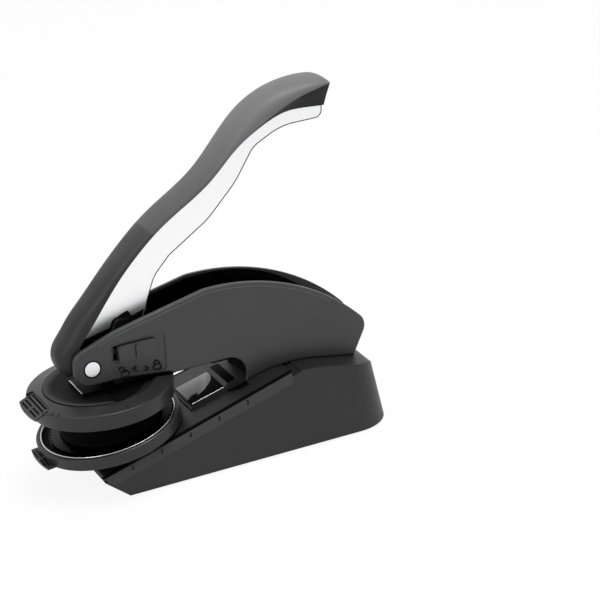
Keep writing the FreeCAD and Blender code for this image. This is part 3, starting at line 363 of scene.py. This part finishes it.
def bead(path, radius, closed, around=10):
    # a round bead: a circle carried along a path, square to it
    path = np.asarray(path, float)
    tangent = tangents(path, closed)
    guide = np.array((0.0, 1.0, 0.0)) if abs(tangent[:, 1]).max() < 0.9 else np.array((-0.1, 0.0, 1.0))
    first = np.cross(tangent, guide)
    first /= np.linalg.norm(first, axis=1)[:, None]
    second = np.cross(tangent, first)
    angle = np.linspace(0, 2 * np.pi, around, endpoint=False)
    return path[:, None] + radius * (np.cos(angle)[None, :, None] * first[:, None]
                                     + np.sin(angle)[None, :, None] * second[:, None])


def ribbon(path, width, near, far, closed):
    # a flat rib on an upright face: a rectangle from near to far across, carried along an (x, z) path
    path = np.asarray(path, float)
    out = leftOf(path, closed) * width / 2
    left, right = path + out, path - out
    corners = [(left, near), (left, far), (right, far), (right, near)]
    return np.stack([atSide(flat, deep) for flat, deep in corners], 1)


# The moulded cover of the lever. Rows: the crown's line (x, z), the side edge's line, the under edge's
# line, half width at the side edge and at the under edge, half width inside, and the wall over the hollow.
grip = {
    "rows": [
        ((-9.2, -3.2), (-5.7, -2.0), (-5.6, -2.2), 6.5, 6.4, 2.9, 1.2),
        ((-12.0, 2.0), (-6.3, 2.0), (-6.2, 2.0), 7.2, 7.1, 2.9, 1.2),
        ((-11.6, 7.0), (-3.5, 8.2), (-3.4, 8.2), 7.6, 7.5, 3.2, 1.2),
        ((-8.2, 11.7), (-0.6, 12.3), (-0.5, 12.3), 7.7, 7.5, 5.4, 1.3),
        ((-4.3, 16.9), (1.9, 15.2), (2.0, 15.1), 7.7, 7.4, 6.2, 1.3),
        ((2.0, 23.4), (5.7, 20.2), (6.0, 19.9), 7.7, 7.2, 6.2, 1.3),
        ((12.2, 33.7), (14.8, 31.3), (15.0, 31.0), 7.7, 7.2, 6.2, 1.3),
        ((22.6, 43.7), (25.0, 41.5), (25.2, 41.2), 7.7, 7.2, 5.6, 1.3),
        ((31.2, 50.6), (33.2, 48.4), (33.4, 48.1), 7.9, 7.4, 3.4, 1.5),
        ((43.4, 58.3), (45.0, 55.8), (45.1, 55.5), 8.1, 7.5, 2.9, 2.0),
        ((54.6, 65.8), (56.4, 63.5), (56.6, 63.2), 8.5, 7.9, 2.9, 2.2),
        ((64.1, 75.5), (66.7, 73.2), (66.9, 72.8), 9.1, 8.4, 2.9, 2.4),
        ((74.5, 86.3), (77.4, 80.8), (77.5, 79.6), 9.5, 8.2, 2.9, 3.0),
        ((88.8, 92.9), (89.3, 87.1), (89.6, 83.8), 9.8, 7.2, 2.9, 4.2),
        ((98.0, 94.1), (97.4, 89.8), (97.0, 83.9), 9.5, 6.7, 2.9, 4.4),
        ((104.4, 93.9), (104.0, 91.0), (103.0, 83.2), 8.9, 6.2, 2.9, 4.6),
        ((108.2, 93.0), (107.6, 91.4), (105.9, 82.8), 8.1, 5.8, 2.9, 4.6),
        ((110.3, 91.9), (109.9, 91.3), (107.4, 82.6), 7.2, 5.4, 2.9, 4.6),
    ],
    "fullness": 2.5,     # how square the crown is: 2 is an ellipse
    "steps": 220,        # sections along the cover
    "crownPoints": 49,   # points over the crown in each section
    "swell": 0.3, "tuck": 0.12,      # how far the sides bulge under the side edge, and draw in
    "roofDrop": 0.3,     # mm more wall over the hollow than the rows give
    "haunch": 0.8, "narrow": 0.8,    # how high the hollow is at full width, and the roof's share of it
}


def gripSkin(look):
    # Each section runs over the crown, a superellipse from side edge to side edge, in under both sides, and
    # back through the hollow that takes the lever and the lock's tooth.
    rows = [[*crown, *edge, *under, *rest] for crown, edge, under, *rest in look["rows"]]
    line = smoothThrough(rows, look["steps"])
    crown, edge, under = line[:, 0:2], line[:, 2:4], line[:, 4:6]
    half, low, hollow, wall = line[:, 6], line[:, 7], line[:, 8], line[:, 9]
    turn = np.linspace(0, np.pi, look["crownPoints"])
    power = 2 / look["fullness"]
    across = np.sign(np.cos(turn)) * np.abs(np.cos(turn)) ** power
    rise = np.abs(np.sin(turn)) ** power
    over = edge[:, None] + (crown - edge)[:, None] * rise[None, :, None]
    top = np.dstack([over[..., 0], -half[:, None] * across[None, :], over[..., 1]])
    reach = np.linalg.norm(crown - under, axis=1)[:, None]
    roof = crown - (crown - under) / reach * (wall[:, None] + look["roofDrop"])
    belly = (edge + under) / 2 + (crown - edge) / reach * look["swell"]
    curve = (half + low) / 2 - look["tuck"] * (half - low)
    haunch, narrow = under + (roof - under) * look["haunch"], look["narrow"] * hollow
    below = [(belly, curve), (under, low), (under, hollow), (haunch, hollow), (roof, narrow),
             (roof, -narrow), (haunch, -hollow), (under, -hollow), (under, -low), (belly, -curve)]
    return np.concatenate([top] + [atSide(flat, side)[:, None] for flat, side in below], axis=1)


gripRings = gripSkin(grip)
gripPiece = addSkin("moulded_grip", [(gripRings, False)], gripPaint, "lever", 34.0)
gripPiece.data.materials.append(mouldedPlastic("gripUnderAbs", finishes["under"]))
column = np.arange(len(gripPiece.data.polygons)) % gripRings.shape[1]
unpainted = column >= grip["crownPoints"] - 1     # sides tucked in, and the hollow
unpainted[-2:] = True                             # both ends
gripPiece.data.polygons.foreach_set("material_index", unpainted.astype(np.int32))
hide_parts("lever_grip")
print("grip shaped")


# A line of darker, duller steel along the lever's lower edge on each face: painted shade on the edge.
leverEdge = {
    "line": [(26.6, 15.0, 0), (27.2, 18.6, 20), (31.6, 28.6, 14), (38.6, 35.6, 10), (55.9, 46.3, 30),
             (68.6, 58.6, 40), (77.6, 71.4, 10), (89.8, 77.2, 24), (107.4, 77.2, 3), (107.4, 83.6, 0)],
    "side": 2.7,
    "radius": 0.2,
}
edgeLine = roundedLine(leverEdge["line"])
addSkin("lever_edge_lines",
        [(bead(atSide(edgeLine, side * leverEdge["side"]), leverEdge["radius"], False), False)
         for side in (-1, 1)], shadedEdge, "lever")


# A thin black sheet on each face of the lever, round its hub: painted shade for the dark gap where the lever
# goes into its channel.
hubShade = {
    "outline": [(-2.5, 9.0), (3.0, 10.1), (11.4, 12.0), (12.3, 14.2), (13.0, 14.9), (18.6, 17.1),
                (19.4, 17.1), (20.9, 14.6), (26.0, 16.4), (23.8, 10.4), (16.2, 4.4), (9.0, 2.5),
                (4.5, 5.0), (-2.5, 6.0)],
    "faces": (2.6, 2.82),
}
rim = np.array(hubShade["outline"])
addSkin("hub_shade_sheets",
        [(np.stack([atSide(rim, side * deep) for deep in hubShade["faces"]]), False) for side in (-1, 1)],
        guideNylon, "lever")


def holderAxes(look):
    # a holder's middle, its direction to the rear and its axis, which leans forward by look["lean"]
    lean = np.radians(look["lean"])
    middle = np.array((look["middle"][0], 0, look["middle"][1]))
    return middle, np.array((np.cos(lean), 0, np.sin(lean))), np.array((-np.sin(lean), 0, np.cos(lean)))


def tiltedRing(look, radius, height, start=0.0, end=360.0, steps=181):
    # points on a circle round a holder's axis, at a height along it
    middle, out, axis = holderAxes(look)
    angle = np.radians(np.linspace(start, end, steps))[:, None]
    return (middle + np.cos(angle) * radius * out + np.sin(angle) * radius * np.array((0, 1, 0))
            + axis * np.asarray(height, float).reshape(-1, 1))


# Fine beads round the lower holder: a bright one on the rim's inner edge, a painted highlight, and a dark
# one on the clamp ring.
lowerHolder = {"middle": (6.783, -27.639), "lean": 9.1, "bead": 26.95, "height": -0.12, "thick": 0.33}
lowerRing = {"middle": (8.067, -27.433), "lean": 9.1, "bead": 24.6, "height": -0.55, "thick": 0.14}
for name, look, steel, slotName in (("lower_rim_highlight", lowerHolder, highlightBeadSteel, "bright_steel"),
                                    ("clamp_ring_bead", lowerRing, ringSteel, "ring_steel")):
    path = tiltedRing(look, look["bead"], look["height"])[:-1]
    addSkin(name, [(bead(path, look["thick"], True), True)], steel, "frame")

# A black strip that fills the step between the lower holder's rim and its clamp ring: painted shade.
rimShade = {"inner": 25.28, "outer": 26.75, "top": -0.95, "foot": -1.3, "deep": 0.8}
innerPath = tiltedRing(lowerRing, rimShade["inner"], rimShade["foot"])[:-1]
outerPath = tiltedRing(lowerHolder, rimShade["outer"], rimShade["top"])[:-1]
drop = tiltedRing(lowerHolder, rimShade["outer"], rimShade["top"] - rimShade["deep"])[:-1] - outerPath
addSkin("lower_rim_shade",
        [(np.stack([innerPath + drop, innerPath, outerPath, outerPath + drop], 1), True)],
        dieResin, "frame")

# A near-black sheet in the upper holder's dish, painted shade, narrower at the rear where the housing comes
# down.
dishShade = {"middle": (5.7, -18.0), "lean": 2.1, "front": 22.2, "rear": 17.5, "floor": 5.6, "foot": 17.7,
         "bend": 0.136, "proud": 0.07, "edgeDrop": 0.3, "rearFrom": -0.2, "rearSpan": 0.5,
         "fadeFrom": 19.0, "fadeTo": 22.4, "pale": "#464648"}


def dishShadeRings():
    # height is flat, then grows with the square of the distance past the foot; its edge turns down
    angle = np.radians(np.arange(0, 360, 3.0))
    turn = np.clip((np.cos(angle) - dishShade["rearFrom"]) / dishShade["rearSpan"], 0, 1)
    edge = dishShade["front"] - (dishShade["front"] - dishShade["rear"]) * turn * turn * (3 - 2 * turn)
    share = np.concatenate([[0.002], np.linspace(0.04, 1, 30), [1.0, 0.002]])[:, None]
    radius = share * edge[None]
    height = dishShade["floor"] + dishShade["bend"] * np.clip(radius - dishShade["foot"], 0, None) ** 2 + dishShade["proud"]
    height[-2:] -= dishShade["edgeDrop"]
    middle, out, axis = holderAxes(dishShade)
    return (middle + (radius * np.cos(angle))[..., None] * out
            + (radius * np.sin(angle))[..., None] * np.array((0, 1, 0)) + height[..., None] * axis)


def dishShadeAndLight():
    # a thin matt sheet, black in the dish as painted shade and paler up the bevel as painted light: its
    # shade follows the distance from the holder's axis
    material = mouldedPlastic("dishShadeAndLightSheet", finishes["dish"])
    tree = material.node_tree
    place = addNode(tree, "ShaderNodeTexCoord").outputs["Object"]
    centre = pivot + np.array((dishShade["middle"][0], 0, dishShade["middle"][1])) * mm
    flat = addNode(tree, "ShaderNodeVectorMath", {0: place, 1: (1.0, 1.0, 0.0)}, operation="MULTIPLY")
    apart = addNode(tree, "ShaderNodeVectorMath", {0: flat.outputs["Vector"], 1: (centre[0], 0.0, 0.0)},
                    operation="DISTANCE")
    fade = addNode(tree, "ShaderNodeMapRange", {"Value": apart.outputs["Value"],
                                                "From Min": dishShade["fadeFrom"] * mm,
                                                "From Max": dishShade["fadeTo"] * mm})
    shade = addNode(tree, "ShaderNodeMix", {"Factor": fade.outputs["Result"]}, data_type="RGBA")
    shade.inputs["A"].default_value = linear(finishes["dish"]["colour"])
    shade.inputs["B"].default_value = linear(dishShade["pale"])
    tree.links.new(shade.outputs["Result"], tree.nodes["Principled BSDF"].inputs["Base Color"])
    return material


addSkin("dish_painted_shade", [(dishShadeRings(), False)], dishShadeAndLight(), "press_head")

# Setting marks on the upper holder: one long mark on the bevel and a row of short ones at its left.
upperHolder = {
    "middle": (5.7, -18.0), "lean": 2.1,
    "bevelTop": 8.0, "bevelInner": 22.6, "bevelFall": 0.21875,
    "marks": ((272.6, 25.9, 28.7), (203.0, 27.3, 28.8), (209.0, 27.3, 28.8), (215.0, 27.3, 28.8)),
    "markRadius": 0.2,
}
marks = []
share = np.linspace(0, 1, 6)[:, None]
for angle, inner, outer in upperHolder["marks"]:
    start, end = (tiltedRing(upperHolder, radius, upperHolder["bevelTop"]
                             - (radius - upperHolder["bevelInner"]) * upperHolder["bevelFall"],
                             angle, angle, 1) for radius in (inner, outer))
    marks.append((bead(start * (1 - share) + end * share, upperHolder["markRadius"], False, 8), False))
addSkin("setting_marks", marks, darkMark, "press_head")

# Black ribs lying in the grooves of both pull tabs, painted shade in the grooves: whole ones first, then
# ones parted in the middle.
tabs = {
    "upper": dict(places=(25.1, 26.6, 28.2, 29.7), whole=2, half=7.8, start=(24.4, 6.7), tip=(31.4, 3.9)),
    "lower": dict(places=(29.0, 30.3), whole=0, half=7.5, start=(25.0, -4.2), tip=(31.4, -3.8)),
    "width": 0.62, "sunk": (0.65, 0.3), "parting": 0.9,
}


def tabRibs(holder, tab):
    # boxes across the tab, their tops a little under its sloping face
    middle, out, axis = holderAxes(holder)
    wide, (deep, shallow) = tabs["width"] / 2, tabs["sunk"]
    half, parting = tab["half"], tabs["parting"]
    ribs = []
    for number, place in enumerate(tab["places"]):
        top = np.interp(place, (tab["start"][0], tab["tip"][0]), (tab["start"][1], tab["tip"][1]))
        corners = [middle - (place + a) * out + (top - b) * axis
                   for a, b in ((-wide, deep), (-wide, shallow), (wide, shallow), (wide, deep))]
        spans = [(-half, half)] if number < tab["whole"] else [(-half, -parting), (parting, half)]
        for near, far in spans:
            sideways = np.linspace(near, far, 4)[:, None, None] * np.array((0, 1, 0))
            ribs.append((np.array(corners)[None] + sideways, False))
    return ribs


addSkin("upper_tab_ribs", tabRibs(upperHolder, tabs["upper"]), dieResin, "press_head")
addSkin("lower_tab_ribs", tabRibs(lowerHolder, tabs["lower"]), dieResin, "frame")

# A bright steel bead along the front edge of the arm that presses on the holder: a painted highlight.
armEdge = {"front": (-4.3, -10.5), "half": 7.2, "radius": 0.28}
across = np.linspace(-armEdge["half"], armEdge["half"], 12)
armPath = np.column_stack([np.full(12, armEdge["front"][0]), across, np.full(12, armEdge["front"][1])])
addSkin("arm_edge_highlight", [(bead(armPath, armEdge["radius"], False), False)],
        highlightBeadSteel, "press_head")
print("beads and marks added")


# The wedge base's faces: its sloping upper line's start and slope, and a flank's half width and draft.
base = {"front": -7.0, "height": -40.0, "slope": 14.8, "halfWidth": 25.0, "draft": 8.9, "widest": -49.2}

# A raised strip with half-inch ticks along each flank, paler than the base as painted light, with near-black
# ticks as painted shade, under a black strip of painted shade in the seam. Depths run down from the upper
# line, and "front" is how far the base's chin runs back for each millimetre of depth.
strip = {
    "top": 0.75, "bottom": 5.4, "proud": 0.22, "bevel": 0.3, "sunk": 0.4, "gap": 1.2,
    "rear": 78.0, "front": 0.9335,
    "tickStart": 7.1, "tickSpacing": 12.7, "ticks": 5,
    "tickTop": 1.35, "tickBottom": 3.15, "tickWidth": 0.55, "tickProud": 0.4,
}
seamShade = {"profile": [(-0.12, -0.9), (-0.12, -0.1), (0.0, 0.1), (0.72, 0.1), (0.72, -0.9)], "gap": 1.4}


def upperLine(back):
    # height of the base's sloping upper face
    return base["height"] + (back - base["front"]) * np.tan(np.radians(base["slope"]))


def flank(back, depth, proud, side):
    # points on the base's flank: depth below the upper line, proud of the drafted face
    back, depth, proud = np.broadcast_arrays(back, depth, proud)
    up = upperLine(back) - depth
    half = base["halfWidth"] - np.tan(np.radians(base["draft"])) * (up - base["widest"])
    return np.stack([back, side * (half + proud), up], -1)


def alongFlank(profile, gap, side):
    # a profile of (depth, proud) points carried along the flank, from the chin to the strip's rear
    profile = np.array(profile)
    start = base["front"] + profile[:, 0] * strip["front"] + gap
    share = np.linspace(0, 1, 40)[:, None]
    return flank(start * (1 - share) + strip["rear"] * share, profile[:, 0], profile[:, 1], side)


# The throat's pad: a black rest plate of painted shade, a glossy leaf-shaped plate on it whose outline
# follows the lit patch, a bright steel bead on its near edge as a painted highlight, and black plates of
# painted shade on the bank behind it and on the floor beside that.
pad = {
    "rest": [(39.1, -8.8), (53.6, -8.8), (53.6, 8.8), (39.1, 8.8)],
    "leaf": [(39.3, -4.7, 0), (42.0, -4.7, 0), (46.5, -4.0, 9), (53.4, 2.5, 9), (53.4, 8.6, 0.8),
             (39.3, 8.6, 0.8)],
    "floor": [(54.2, 9.9), (62.4, 9.9), (62.4, -13.6), (58.3, -13.8), (54.2, -11.0)],
    "bank": [(54.9, 8.9), (61.7, 8.9), (61.7, -8.9), (54.9, -8.9)], "bankFall": 0.085,
    "restHeights": (1.3, 1.55), "leafHeights": (1.5, 1.66),
    "floorHeights": (-0.1, 0.12), "bankHeights": (2.5, 2.82),
    "lip": 0.05, "draw": 0.985,
    "edge": (-8.75, 1.62), "edgeSpan": (39.4, 53.2), "edgeRadius": 0.24,
}


def onShelf(outline, rise):
    # plan points lifted on to the base's sloping upper face
    return np.column_stack([outline[:, 0], outline[:, 1], upperLine(outline[:, 0]) + rise])


def plateRings(outline, heights):
    # a thin plate: its outline at two heights, drawn in a little at the top
    outline, (low, high) = np.asarray(outline, float), heights
    middle = outline.mean(axis=0)
    inner = middle + (outline - middle) * pad["draw"]
    return np.stack([onShelf(outline, low), onShelf(outline, high - pad["lip"]), onShelf(inner, high)])


bankRings = plateRings(pad["bank"], pad["bankHeights"])
bankRings[..., 2] -= (bankRings[..., 0] - pad["bank"][0][0]) * pad["bankFall"]
addSkin("throat_shade_plates",
        [(plateRings(pad["rest"], pad["restHeights"]), False), (bankRings, False),
         (plateRings(pad["floor"], pad["floorHeights"]), False)], dieResin, "frame")
addSkin("throat_lit_leaf", [(plateRings(roundedLine(pad["leaf"]), pad["leafHeights"]), False)],
        mouldedPlastic("glossyLeafPlastic", finishes["leaf"]), "frame")
edgeBack = np.linspace(*pad["edgeSpan"], 12)
edgePath = onShelf(np.column_stack([edgeBack, np.full(12, pad["edge"][0])]), pad["edge"][1])
addSkin("pad_edge_highlight", [(bead(edgePath, pad["edgeRadius"], False), False)],
        highlightBeadSteel, "frame")

# A black sheet in the throat's rounded end: painted shade.
throatShade = {"line": [(62.72, -18.6, 0), (62.72, -10.38, 6.9), (49.0, -10.38, 0)],
          "half": 10.12, "thick": 0.12}
outside = roundedLine(throatShade["line"])
inside = outside + leftOf(outside) * throatShade["thick"]
sides = (outside, -1), (outside, 1), (inside, 1), (inside, -1)
addSkin("throat_end_shade",
        [(np.stack([atSide(flat, side * throatShade["half"]) for flat, side in sides], 1), False)],
        dieResin, "frame")


def tickRings(back, side):
    # a tick: a short upright rib on the strip
    depth = np.linspace(strip["tickTop"], strip["tickBottom"], 5)[:, None]
    wide, proud = strip["tickWidth"] / 2, strip["tickProud"]
    corners = np.array([(-wide, 0.0), (-wide, proud), (wide, proud), (wide, 0.0)])
    return flank(back + corners[:, 0], depth, corners[:, 1], side)


top, bottom, bevel = strip["top"], strip["bottom"], strip["bevel"]
stripProfile = [(top, -strip["sunk"]), (top, 0.0), (top + bevel, strip["proud"]),
                (bottom - bevel, strip["proud"]), (bottom, 0.0), (bottom, -strip["sunk"])]
addSkin("seam_shade_strip", [(alongFlank(seamShade["profile"], seamShade["gap"], side), False) for side in (-1, 1)],
        dieResin, "frame")
addSkin("ruler_strips", [(alongFlank(stripProfile, strip["gap"], side), False) for side in (-1, 1)],
        mouldedPlastic("litBandAbs", finishes["band"]), "frame")
# The ticks are near-black: painted shade for engraved marks.
tickPlaces = strip["tickStart"] + strip["tickSpacing"] * np.arange(strip["ticks"])
addSkin("ruler_ticks", [(tickRings(back, side), False) for side in (-1, 1) for back in tickPlaces],
        darkMark, "frame")
print("ruler strips added")


# Raised signs under the lock button: an open padlock, two arrows and a closed padlock.
signs = {
    "near": -9.7, "far": -10.42, "line": 0.34,
    "open": (12.9, -4.3), "shut": (26.3, -4.9), "arrows": ((17.0, -4.3), (21.9, -5.2)),
    "body": (1.5, 1.1), "bodyDrop": 0.9,
    "shackle": 1.05, "shackleRise": 0.75, "leg": 0.5,
    "swing": 1.1, "lift": 0.3, "shortLeg": 0.4,      # how an open shackle differs from a shut one
    "arrow": (0.8, 1.0),                             # half length and half height
}


def padlock(middle, lift):
    # a rounded body drawn as a closed rib, and a shackle drawn as an arch, lifted out when open
    wide, high = signs["body"]
    angle = np.linspace(0, 2 * np.pi, 29)[:-1]
    square = np.column_stack([np.sign(np.cos(angle)) * np.abs(np.cos(angle)) ** 0.5 * wide,
                              np.sign(np.sin(angle)) * np.abs(np.sin(angle)) ** 0.5 * high])
    body = square + np.array(middle) - (0, signs["bodyDrop"])
    arch, radius = np.linspace(0, np.pi, 13), signs["shackle"]
    shackle = np.column_stack([np.cos(arch), np.sin(arch)]) * radius
    legs = [(radius, -signs["leg"])], [(-radius, signs["shortLeg"] * lift - signs["leg"])]
    shackle = np.concatenate([legs[0], shackle, legs[1]]) + np.array(middle)
    shackle = shackle + (-signs["swing"] * lift, signs["shackleRise"] + signs["lift"] * lift)
    return [(ribbon(body, signs["line"], signs["near"], signs["far"], True), True),
            (ribbon(shackle, signs["line"], signs["near"], signs["far"], False), False)]


def arrow(middle, way):
    # two straight strokes that meet in a point
    share, (half, high) = np.linspace(-1, 1, 9), signs["arrow"]
    path = np.column_stack([way * half * (1 - 2 * np.abs(share)), share * high]) + np.array(middle)
    return [(ribbon(path, signs["line"], signs["near"], signs["far"], False), False)]


signParts = padlock(signs["open"], 1.0) + arrow(signs["arrows"][0], -1) + arrow(signs["arrows"][1], 1)
signParts += padlock(signs["shut"], 0.0)
addSkin("lock_signs", signParts, darkMark, "frame")

# A fine raised line inside the upper edge of each housing half, paler than the housing as a painted
# highlight.
edgeBead = {
    "line": [(3.0, 10.2, 0), (11.3, 13.1, 60), (48.6, 20.9, 14), (88.56, 20.9, 85), (117.04, -9.64, 0)],
    "inset": 1.5, "radius": 0.17, "face": 10.2,
    "stopShort": 4,      # points left off at the tail
}
upper = roundedLine(edgeBead["line"])[:-edgeBead["stopShort"]]
upper = upper - leftOf(upper) * edgeBead["inset"]
addSkin("housing_edge_lines",
        [(bead(atSide(upper, side * edgeBead["face"]), edgeBead["radius"], False, 8), False)
         for side in (-1, 1)],
        mouldedPlastic("edgeHighlightAbs", finishes["edge"]), "frame")

# Dark rings round the ends of the pivot pin: painted shade of the gap round the pin.
pinGap = {"face": 10.2, "section": [(3.06, -0.3), (3.06, 0.072), (3.355, 0.12), (3.65, 0.048), (3.65, -0.3)]}
circle = np.linspace(0, 2 * np.pi, 73)[:-1][:, None]
section = np.array(pinGap["section"])      # radius, and height over the face


def pinGapRings(side):
    # the section turned round the pin
    out = np.broadcast_to(side * (pinGap["face"] + section[:, 1]), (len(circle), len(section)))
    return np.stack([np.cos(circle) * section[:, 0], out, np.sin(circle) * section[:, 0]], -1)


addSkin("pin_gap_shade", [(pinGapRings(side), True) for side in (-1, 1)], darkMark, "frame")
print("signs and collars added")


# A pale floor, a pale surround and soft lamps, seen at the angle that shows the press best.
studio = {
    "right": (0.9041, -0.42, -0.0787),       # the picture's right, in the room
    "towards": (-0.3588, -0.846, 0.394),     # from the press to the camera
    "shift": (83.7, 23.3),    # the picture's middle, right of the pin and above it, mm
    "distance": 1.0,          # camera to the middle of the picture, m
    "frameWidth": 231.7,      # what the picture takes in there, mm
    "sensor": 36.0,           # mm
    "floorReach": 3.0,        # m
    "floor": "#f4f4f4",
    "floorGlow": 0.9,         # how much of the floor's white the camera sees without shade
    "world": 0.5,
    "lamps": {"palmLamp": ((0.15, -0.05, 1.15), 0.6, 9.0),       # place, size and power
              "frontLamp": ((-0.8, -0.45, 0.55), 0.5, 2.4)},
    "lampAim": (0, 0, 0.06),
}
right = Vector(studio["right"]).normalized()
back = Vector(studio["towards"])
back = (back - right * back.dot(right)).normalized()
up = back.cross(right)
aim = Vector(pivot) + right * studio["shift"][0] * mm + up * studio["shift"][1] * mm
camera = bpy.data.objects.new("camera", bpy.data.cameras.new("camera"))
bpy.context.scene.collection.objects.link(camera)
turn = Matrix((right, up, back)).transposed().to_4x4()
camera.matrix_world = Matrix.Translation(aim + back * studio["distance"]) @ turn
camera.data.sensor_width = studio["sensor"]
camera.data.lens = studio["sensor"] * studio["distance"] / (studio["frameWidth"] * mm)
camera.data.clip_start = 0.05
camera.data.clip_end = 20.0
bpy.context.scene.camera = camera

floorMaterial, floorTree, floorShader = newMaterial("paperFloor")
floorShader.inputs["Base Color"].default_value = linear(studio["floor"])
floorShader.inputs["Roughness"].default_value = 0.9
floorShader.inputs["Specular IOR Level"].default_value = 0.0
floorSeen = addNode(floorTree, "ShaderNodeLightPath")
whole = addNode(floorTree, "ShaderNodeMath", {0: floorSeen.outputs["Is Camera Ray"], 1: studio["floorGlow"]},
                operation="MULTIPLY")
glow = addNode(floorTree, "ShaderNodeEmission", {"Color": (1, 1, 1, 1), "Strength": 1.0})
paper = addNode(floorTree, "ShaderNodeMixShader",
                {"Fac": whole.outputs["Value"], 1: floorShader.outputs["BSDF"], 2: glow.outputs["Emission"]})
floorTree.links.new(paper.outputs["Shader"], floorTree.nodes["Material Output"].inputs["Surface"])
floorMesh = bpy.data.meshes.new("floor")
reach = studio["floorReach"]
floorMesh.from_pydata([(-reach, -reach, 0), (reach, -reach, 0), (reach, reach, 0), (-reach, reach, 0)],
                      [], [(0, 1, 2, 3)])
floor = bpy.data.objects.new("floor", floorMesh)
bpy.context.scene.collection.objects.link(floor)
floor.data.materials.append(floorMaterial)

world = bpy.data.worlds.new("paleSurround")
bpy.context.scene.world = world
world.use_nodes = True
worldTree = world.node_tree
background = worldTree.nodes["Background"]
seen = addNode(worldTree, "ShaderNodeLightPath")
seenDirectly = addNode(worldTree, "ShaderNodeMath",
                       {0: seen.outputs["Is Camera Ray"], 1: seen.outputs["Is Glossy Ray"]},
                       operation="MAXIMUM")
level = addNode(worldTree, "ShaderNodeMapRange",
                {"Value": seenDirectly.outputs["Value"], "To Min": studio["world"], "To Max": 1.0})
background.inputs["Color"].default_value = (1, 1, 1, 1)
worldTree.links.new(level.outputs["Result"], background.inputs["Strength"])

for name, (place, size, power) in studio["lamps"].items():
    lamp = bpy.data.objects.new(name, bpy.data.lights.new(name, "AREA"))
    lamp.data.shape = "DISK"
    lamp.data.size = size
    lamp.data.energy = power
    lamp.location = place
    lamp.rotation_euler = (Vector(studio["lampAim"]) - Vector(place)).to_track_quat("-Z", "Y").to_euler()
    bpy.context.scene.collection.objects.link(lamp)
bpy.context.scene.view_settings.view_transform = "Standard"
print("studio set")
